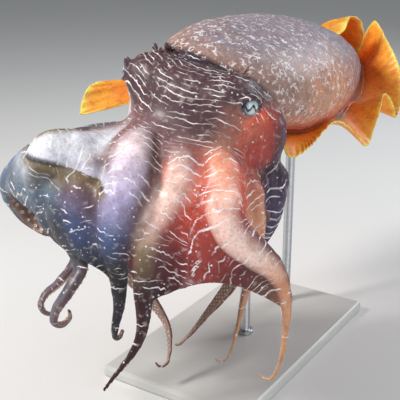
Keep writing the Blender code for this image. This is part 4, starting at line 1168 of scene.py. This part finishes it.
def build_eye(side, finish):
    """Eyeball, swollen at its middle, with a pupil that waves like a W."""
    centre, look, along, up = eye_frame(side)
    points, faces = ball((0, 0, 0), (1, 1, 1), 140)
    a, u, l = points[:, 0], points[:, 1], points[:, 2]
    wave = 0.17 * np.cos(a * 2 * np.pi / 0.62) - 0.02
    pupil = 1 - ramp(np.abs(u - wave), 0.095, 0.125)
    pupil *= (1 - ramp(np.abs(a), 0.50, 0.56)) * (l > 0)
    off = np.hypot(a, u)
    tint = layered(
        tone("iris"),
        ("iris_outer", ramp(off, 0.30, 0.62)),
        ("iris_fleck", ramp(lattice_noise(points, 0.11, 5), 0.1, 0.9) * 0.5),
        ("pupil", pupil),
        # Dark rim round the eyeball, heavier on one side: painted shade under the lids, partly the lid's dark
        # margin
        ("eye_rim_and_shade", ramp(off - 0.10 * a, 0.50, 0.72)))
    swell = 1 + 0.05 * (1 - ramp(off, 0.0, 0.7)) * (l > 0)
    place = centre + EYE_RADIUS * swell[:, None] * (points @ np.array([along, up, look]))
    name = "eye_ball_left" if side > 0 else "eye_ball_right"
    eye = make_mesh(name, placed(place), faces, finish)
    store(eye.data, "tint", "FLOAT_COLOR", np.c_[tint, np.ones(len(points))])
    return eye


def build_beak(finish):
    middle, axis, front, left = crown_frame()
    root = middle + axis * (0.0190 + MOUTH_DEPTH)
    pieces = []
    for name, way, wide in (("beak_upper", 1.0, 0.0040), ("beak_lower", -1.0, 0.0034)):
        rows = []
        for f in np.linspace(0, 1, 24):
            size = wide * (1 - f) ** 0.7 + 0.0005
            place = root + axis * (0.011 * f) + front * way * (0.00235 + 0.0006 * f - 0.0017 * f * f)
            turn = 2 * np.pi * np.arange(32)[:, None] / 32
            rows.append(place + left * size * 0.9 * np.cos(turn) + front * size * 0.50 * np.sin(turn))
        piece = make_mesh(f"{name}_horn", *loft(rows), finish)
        piece.data.transform(BODY)
        pieces.append((piece, name))
    return pieces


# Finishes

class Shader:
    """Builds one material's nodes."""

    def __init__(self, name):
        self.finish = bpy.data.materials.new(name)
        self.finish.use_nodes = True
        self.tree = self.finish.node_tree
        self.base = self.tree.nodes["Principled BSDF"]

    def put(self, socket, value):
        if isinstance(value, bpy.types.NodeSocket):
            self.tree.links.new(value, socket)
        else:
            socket.default_value = value

    def node(self, kind, out, inputs, **settings):
        node = self.tree.nodes.new(kind)
        for key, value in settings.items():
            setattr(node, key, value)
        for key, value in inputs.items():
            self.put(node.inputs[key], value)
        return node.outputs[out]

    def math(self, operation, *values):
        return self.node("ShaderNodeMath", 0, dict(enumerate(values)), operation=operation)

    def times(self, *values):
        out = values[0]
        for value in values[1:]:
            out = self.math("MULTIPLY", out, value)
        return out

    def attribute(self, name, out):
        return self.node("ShaderNodeAttribute", out, {}, attribute_name=name)

    def vector(self, x, y, z=0.0):
        return self.node("ShaderNodeCombineXYZ", 0, {0: x, 1: y, 2: z})

    def parts(self, vector):
        node = self.tree.nodes.new("ShaderNodeSeparateXYZ")
        self.tree.links.new(vector, node.inputs[0])
        return node.outputs

    def noise(self, vector, scale, detail=2.0, out="Fac"):
        return self.node("ShaderNodeTexNoise", out, {"Vector": vector, "Scale": scale, "Detail": detail})

    def cells(self, vector, scale, feature="F1"):
        inputs = {"Vector": vector, "Scale": scale}
        return self.node("ShaderNodeTexVoronoi", "Distance", inputs, feature=feature)

    def place(self):
        return self.node("ShaderNodeTexCoord", "Object", {})

    def step(self, value, low, high):
        """0 below low to 1 above high, smoothly."""
        return self.node("ShaderNodeMapRange", 0, {0: value, 1: low, 2: high, 3: 0.0, 4: 1.0},
                         interpolation_type="SMOOTHSTEP")

    def blend(self, share, a, b, kind="MIX"):
        return self.node("ShaderNodeMix", 2, {0: share, 6: a, 7: b}, data_type="RGBA", blend_type=kind)

    def bump(self, height, distance, strength=1.0):
        return self.node("ShaderNodeBump", 0, {"Height": height, "Distance": distance, "Strength": strength})

    def finish_with(self, values):
        for key, value in values.items():
            self.put(self.base.inputs[key], value)
        return self.finish


LINE_COLOUR = (0.94, 0.90, 0.92, 1.0)
BROWN = (0.30, 0.14, 0.11, 1.0)
SHADE = (0.42, 0.36, 0.36, 1.0)
PALE = (0.85, 0.72, 0.66, 1.0)
RAY_COLOUR = (0.75, 0.30, 0.10, 1.0)


def white_lines(s):
    """Mask of the short wavy white lines that cross head and arms."""
    along, across = s.parts(s.attribute("lines", "Vector"))[:2]
    drift = s.noise(s.vector(s.times(across, 45.0), s.times(along, 0.25)), 1.0, 1.0)
    rows = s.math("MULTIPLY_ADD", drift, 1.6, along)
    row = s.math("FLOOR", rows)
    wave = s.noise(s.vector(s.times(across, 210.0), s.times(row, 3.7)), 1.0, 2.0)
    place = s.math("ADD", s.math("SUBTRACT", rows, row), s.math("MULTIPLY_ADD", wave, 0.9, -0.95))
    gap_place = s.vector(s.math("MULTIPLY_ADD", row, 13.7, s.times(across, 72.0)), s.times(row, 7.3))
    gaps = s.noise(gap_place, 1.0, 1.0)
    dash = s.attribute("dash", "Fac")
    need = s.math("MULTIPLY_ADD", dash, -0.23, 0.645)
    shown = s.step(s.math("SUBTRACT", gaps, need), 0.0, 0.12)
    thick = s.math("MULTIPLY_ADD", shown, 0.045, 0.015)
    line = s.math("SUBTRACT", 1.0, s.step(s.math("ABSOLUTE", place), thick, s.math("ADD", thick, 0.055)))
    return s.times(line, shown, s.step(dash, 0.04, 0.2))


def skin_finish():
    s = Shader("wet_skin")
    body = s.attribute("body", "Vector")
    fin = s.attribute("fin", "Fac")
    freckle = s.attribute("freckle", "Fac")
    flesh = s.math("SUBTRACT", 1.0, fin)
    patches = s.step(s.noise(body, 95.0, 4.0), 0.45, 0.75)
    mottle = s.noise(body, 420.0, 3.0)
    colour = s.blend(s.times(patches, 0.35), s.attribute("tint", "Color"), BROWN, "MULTIPLY")
    colour = s.blend(s.times(s.step(mottle, 0.42, 0.72), 0.40), colour, SHADE, "MULTIPLY")
    pale = s.times(s.step(s.noise(body, 210.0, 2.0), 0.55, 0.75), flesh, 0.25)
    colour = s.blend(pale, colour, PALE)

    drift = s.noise(body, 130.0, 1.0, "Color")
    warp = s.node("ShaderNodeVectorMath", 0, {0: drift, 1: (0.006,) * 3, 2: body}, operation="MULTIPLY_ADD")
    net = s.math("SUBTRACT", 1.0, s.step(s.cells(warp, 210.0, "DISTANCE_TO_EDGE"), 0.04, 0.14))
    places = s.step(s.noise(body, 160.0, 2.0), 0.48, 0.62)
    squiggles = s.times(net, places, freckle, 0.65)
    colour = s.blend(squiggles, colour, LINE_COLOUR)
    dots = s.math("SUBTRACT", 1.0, s.step(s.cells(body, 190.0), 0.10, 0.20))
    dots = s.times(dots, s.step(s.noise(body, 60.0, 1.0), 0.44, 0.62), flesh, 0.75)
    colour = s.blend(dots, colour, LINE_COLOUR)
    lines = white_lines(s)
    bright = s.step(s.noise(body, 120.0, 1.0), 0.35, 0.65)
    strength = s.math("MULTIPLY_ADD", bright, 0.45, 0.45)
    colour = s.blend(s.times(lines, strength), colour, LINE_COLOUR)

    run, level = s.parts(s.attribute("lines", "Vector"))[0], s.attribute("reach", "Fac")
    rays = s.noise(s.vector(s.times(run, 330.0), s.times(level, 2.5)), 1.0, 3.0)
    colour = s.blend(s.times(s.step(rays, 0.42, 0.75), fin, 0.45), colour, RAY_COLOUR, "MULTIPLY")

    height = s.math("ADD", s.times(mottle, 0.5), s.times(lines, 0.5))
    height = s.math("ADD", height, s.times(rays, fin, 0.6))
    return s.finish_with({
        "Base Color": colour,
        "Roughness": s.math("MULTIPLY_ADD", mottle, 0.25, 0.42),
        "Specular IOR Level": 0.35,
        "Subsurface Weight": s.math("MULTIPLY_ADD", fin, 0.6, 0.10),
        "Subsurface Scale": 0.006,
        "Coat Weight": 0.15,
        "Coat Roughness": 0.22,
        "Normal": s.bump(height, 0.0006, 0.6),
    })


def grained_finish(name, grain, span, colours, rough, relief, values):
    """Finish whose colour, roughness and relief follow one grain."""
    s = Shader(name)
    shade = s.noise(s.place(), *grain)
    return s.finish_with({
        "Base Color": s.blend(s.step(shade, *span), *colours),
        "Roughness": s.math("MULTIPLY_ADD", shade, *rough),
        "Normal": s.bump(shade, *relief),
        **values,
    })


def sucker_finish():
    colours = ((0.80, 0.62, 0.50, 1.0), (0.92, 0.82, 0.72, 1.0))
    return grained_finish("sucker_rim", (300.0, 3.0), (0.35, 0.7), colours, (0.2, 0.28), (0.0002, 0.5), {
        "Subsurface Weight": 0.15,
        "Subsurface Scale": 0.003,
        "Coat Weight": 0.5,
        "Coat Roughness": 0.12,
    })


def eye_finish():
    s = Shader("wet_eye")
    fine = s.noise(s.place(), 900.0, 2.0)
    tint = s.attribute("tint", "Color")
    colour = s.blend(s.times(s.step(fine, 0.4, 0.7), 0.25), tint, (0.55, 0.66, 0.68, 1.0), "MULTIPLY")
    return s.finish_with({
        "Base Color": colour, "Roughness": 0.10, "Coat Weight": 1.0, "Coat Roughness": 0.02})


def horn_finish():
    colours = ((0.020, 0.010, 0.008, 1.0), (0.075, 0.035, 0.020, 1.0))
    return grained_finish("dark_horn", (500.0, 4.0), (0.35, 0.75), colours, (0.2, 0.12), (0.0002, 0.4), {
        "Coat Weight": 0.4,
        "Coat Roughness": 0.05,
    })


def paint_finish():
    s = Shader("satin_paint")
    place = s.place()
    peel = s.noise(place, 900.0, 2.0)
    cloud = s.noise(place, 18.0, 4.0)
    clouds = s.times(s.step(cloud, 0.35, 0.7), 0.5)
    colour = s.blend(clouds, (0.56, 0.56, 0.54, 1.0), (0.50, 0.50, 0.485, 1.0))
    return s.finish_with({
        "Base Color": colour,
        "Roughness": s.math("MULTIPLY_ADD", cloud, 0.18, 0.30),
        "Coat Weight": 0.15,
        "Coat Roughness": 0.25,
        "Normal": s.bump(peel, 0.00015, 0.35),
    })


def steel_finish():
    s = Shader("brushed_steel")
    x, y, z = s.parts(s.place())[:3]
    hair = s.noise(s.vector(s.times(x, 90.0), s.times(y, 90.0), s.times(z, 2600.0)), 1.0, 3.0)
    colour = s.blend(s.step(hair, 0.3, 0.7), (0.46, 0.47, 0.49, 1.0), (0.62, 0.63, 0.65, 1.0))
    return s.finish_with({
        "Base Color": colour,
        "Metallic": 1.0,
        "Roughness": s.math("MULTIPLY_ADD", hair, 0.22, 0.20),
        "Normal": s.bump(hair, 0.00005, 0.3),
    })


def floor_finish():
    s = Shader("pale_floor")
    cloud = s.noise(s.place(), 3.0, 2.0)
    colour = s.blend(cloud, (0.70, 0.70, 0.69, 1.0), (0.74, 0.74, 0.73, 1.0))
    return s.finish_with({"Base Color": colour, "Roughness": 0.7})


# Stand

ROD_COLLAR = 0.0035


def build_rod(node, finish):
    """Round rod in a turned collar on the base, sunk a little into the flesh at its top."""
    low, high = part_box(node)
    middle = (low + high) / 2
    radius = (high.x - low.x) / 2
    collar = radius + ROD_COLLAR
    profile = ((0.0, collar), (0.0035, collar), (0.0045, collar - 0.001), (0.0045, radius + 0.0002),
               (0.0050, radius), (high.z - low.z + 0.003, radius))
    around = circle(72, np.array([1.0, 0.0, 0.0]), np.array([0.0, 1.0, 0.0]))
    foot = np.array([middle.x, middle.y, low.z])
    rings = [foot + around * wide + np.array([0.0, 0.0, level]) for level, wide in profile]
    rod = make_mesh(f"{node}_steel", *loft(rings), finish)
    rod.data.set_sharp_from_angle(angle=math.radians(30))
    return rod


# Stage

def build_floor():
    bpy.ops.mesh.primitive_plane_add(size=8.0, location=(0, 0, 0))
    floor = bpy.context.object
    floor.name = "studio_floor"
    floor.data.materials.append(floor_finish())


def camera_axes():
    back = Vector((math.sin(CAMERA_AZIMUTH) * math.cos(CAMERA_ELEVATION),
                   -math.cos(CAMERA_AZIMUTH) * math.cos(CAMERA_ELEVATION), math.sin(CAMERA_ELEVATION)))
    right = Vector((math.cos(CAMERA_AZIMUTH), math.sin(CAMERA_AZIMUTH), 0.0))
    return back, right, back.cross(right)


def build_camera():
    back, right, up = camera_axes()
    aside = (PICTURE_SIDE / 2 - HEAD_PIXEL[0]) * PIXEL_AT_HEAD
    below = (PICTURE_SIDE / 2 - HEAD_PIXEL[1]) * PIXEL_AT_HEAD
    place = BODY_PLACE + back * CAMERA_DISTANCE + right * aside - up * below
    data = bpy.data.cameras.new("camera")
    data.sensor_width = SENSOR
    data.lens = SENSOR * CAMERA_DISTANCE / (PIXEL_AT_HEAD * PICTURE_SIDE)
    camera = bpy.data.objects.new("camera", data)
    camera.matrix_world = Matrix.Translation(place) @ Matrix((right, up, back)).transposed().to_4x4()
    bpy.context.scene.collection.objects.link(camera)
    bpy.context.scene.camera = camera


def build_lights():
    """Soft square lights that face the animal's head, and an even sky."""
    for name, (place, size, power, colour) in LIGHTS.items():
        data = bpy.data.lights.new(name, "AREA")
        data.shape = "SQUARE"
        data.size = size
        data.energy = power
        data.color = colour
        light = bpy.data.objects.new(name, data)
        light.location = place
        light.rotation_euler = (Vector(place) - BODY_PLACE).to_track_quat("Z", "Y").to_euler()
        bpy.context.scene.collection.objects.link(light)
    world = bpy.data.worlds.new("studio")
    world.use_nodes = True
    world.node_tree.nodes["Background"].inputs[0].default_value = SKY_COLOUR
    world.node_tree.nodes["Background"].inputs[1].default_value = SKY_STRENGTH
    bpy.context.scene.world = world
    bpy.context.scene.view_settings.view_transform = "Standard"


# Assembly

def place_piece(piece, slot, *nodes):
    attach(piece, "root")
    if nodes:
        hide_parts(*nodes)


build_floor()
build_camera()
build_lights()

FLESH_STARTS = ("arm_", "web_", "fin_", "head", "mantle", "funnel", "buccal_mass")
skin, surface = build_skin(skin_finish())
place_piece(skin, "mantle_skin", *[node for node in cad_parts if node.startswith(FLESH_STARTS)])
for piece in build_suckers(surface, sucker_finish()):
    place_piece(piece, "arm_skin")
eye_material = eye_finish()
for side, node in ((1, "eye_left"), (-1, "eye_right")):
    place_piece(build_eye(side, eye_material), "eye", node)
for piece, node in build_beak(horn_finish()):
    place_piece(piece, "beak_horn", node)
steel = steel_finish()
for node in ("stand_rod_front", "stand_rod_rear"):
    place_piece(build_rod(node, steel), "stand_steel", node)
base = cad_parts["stand_base"]
base.data.materials.clear()
base.data.materials.append(paint_finish())
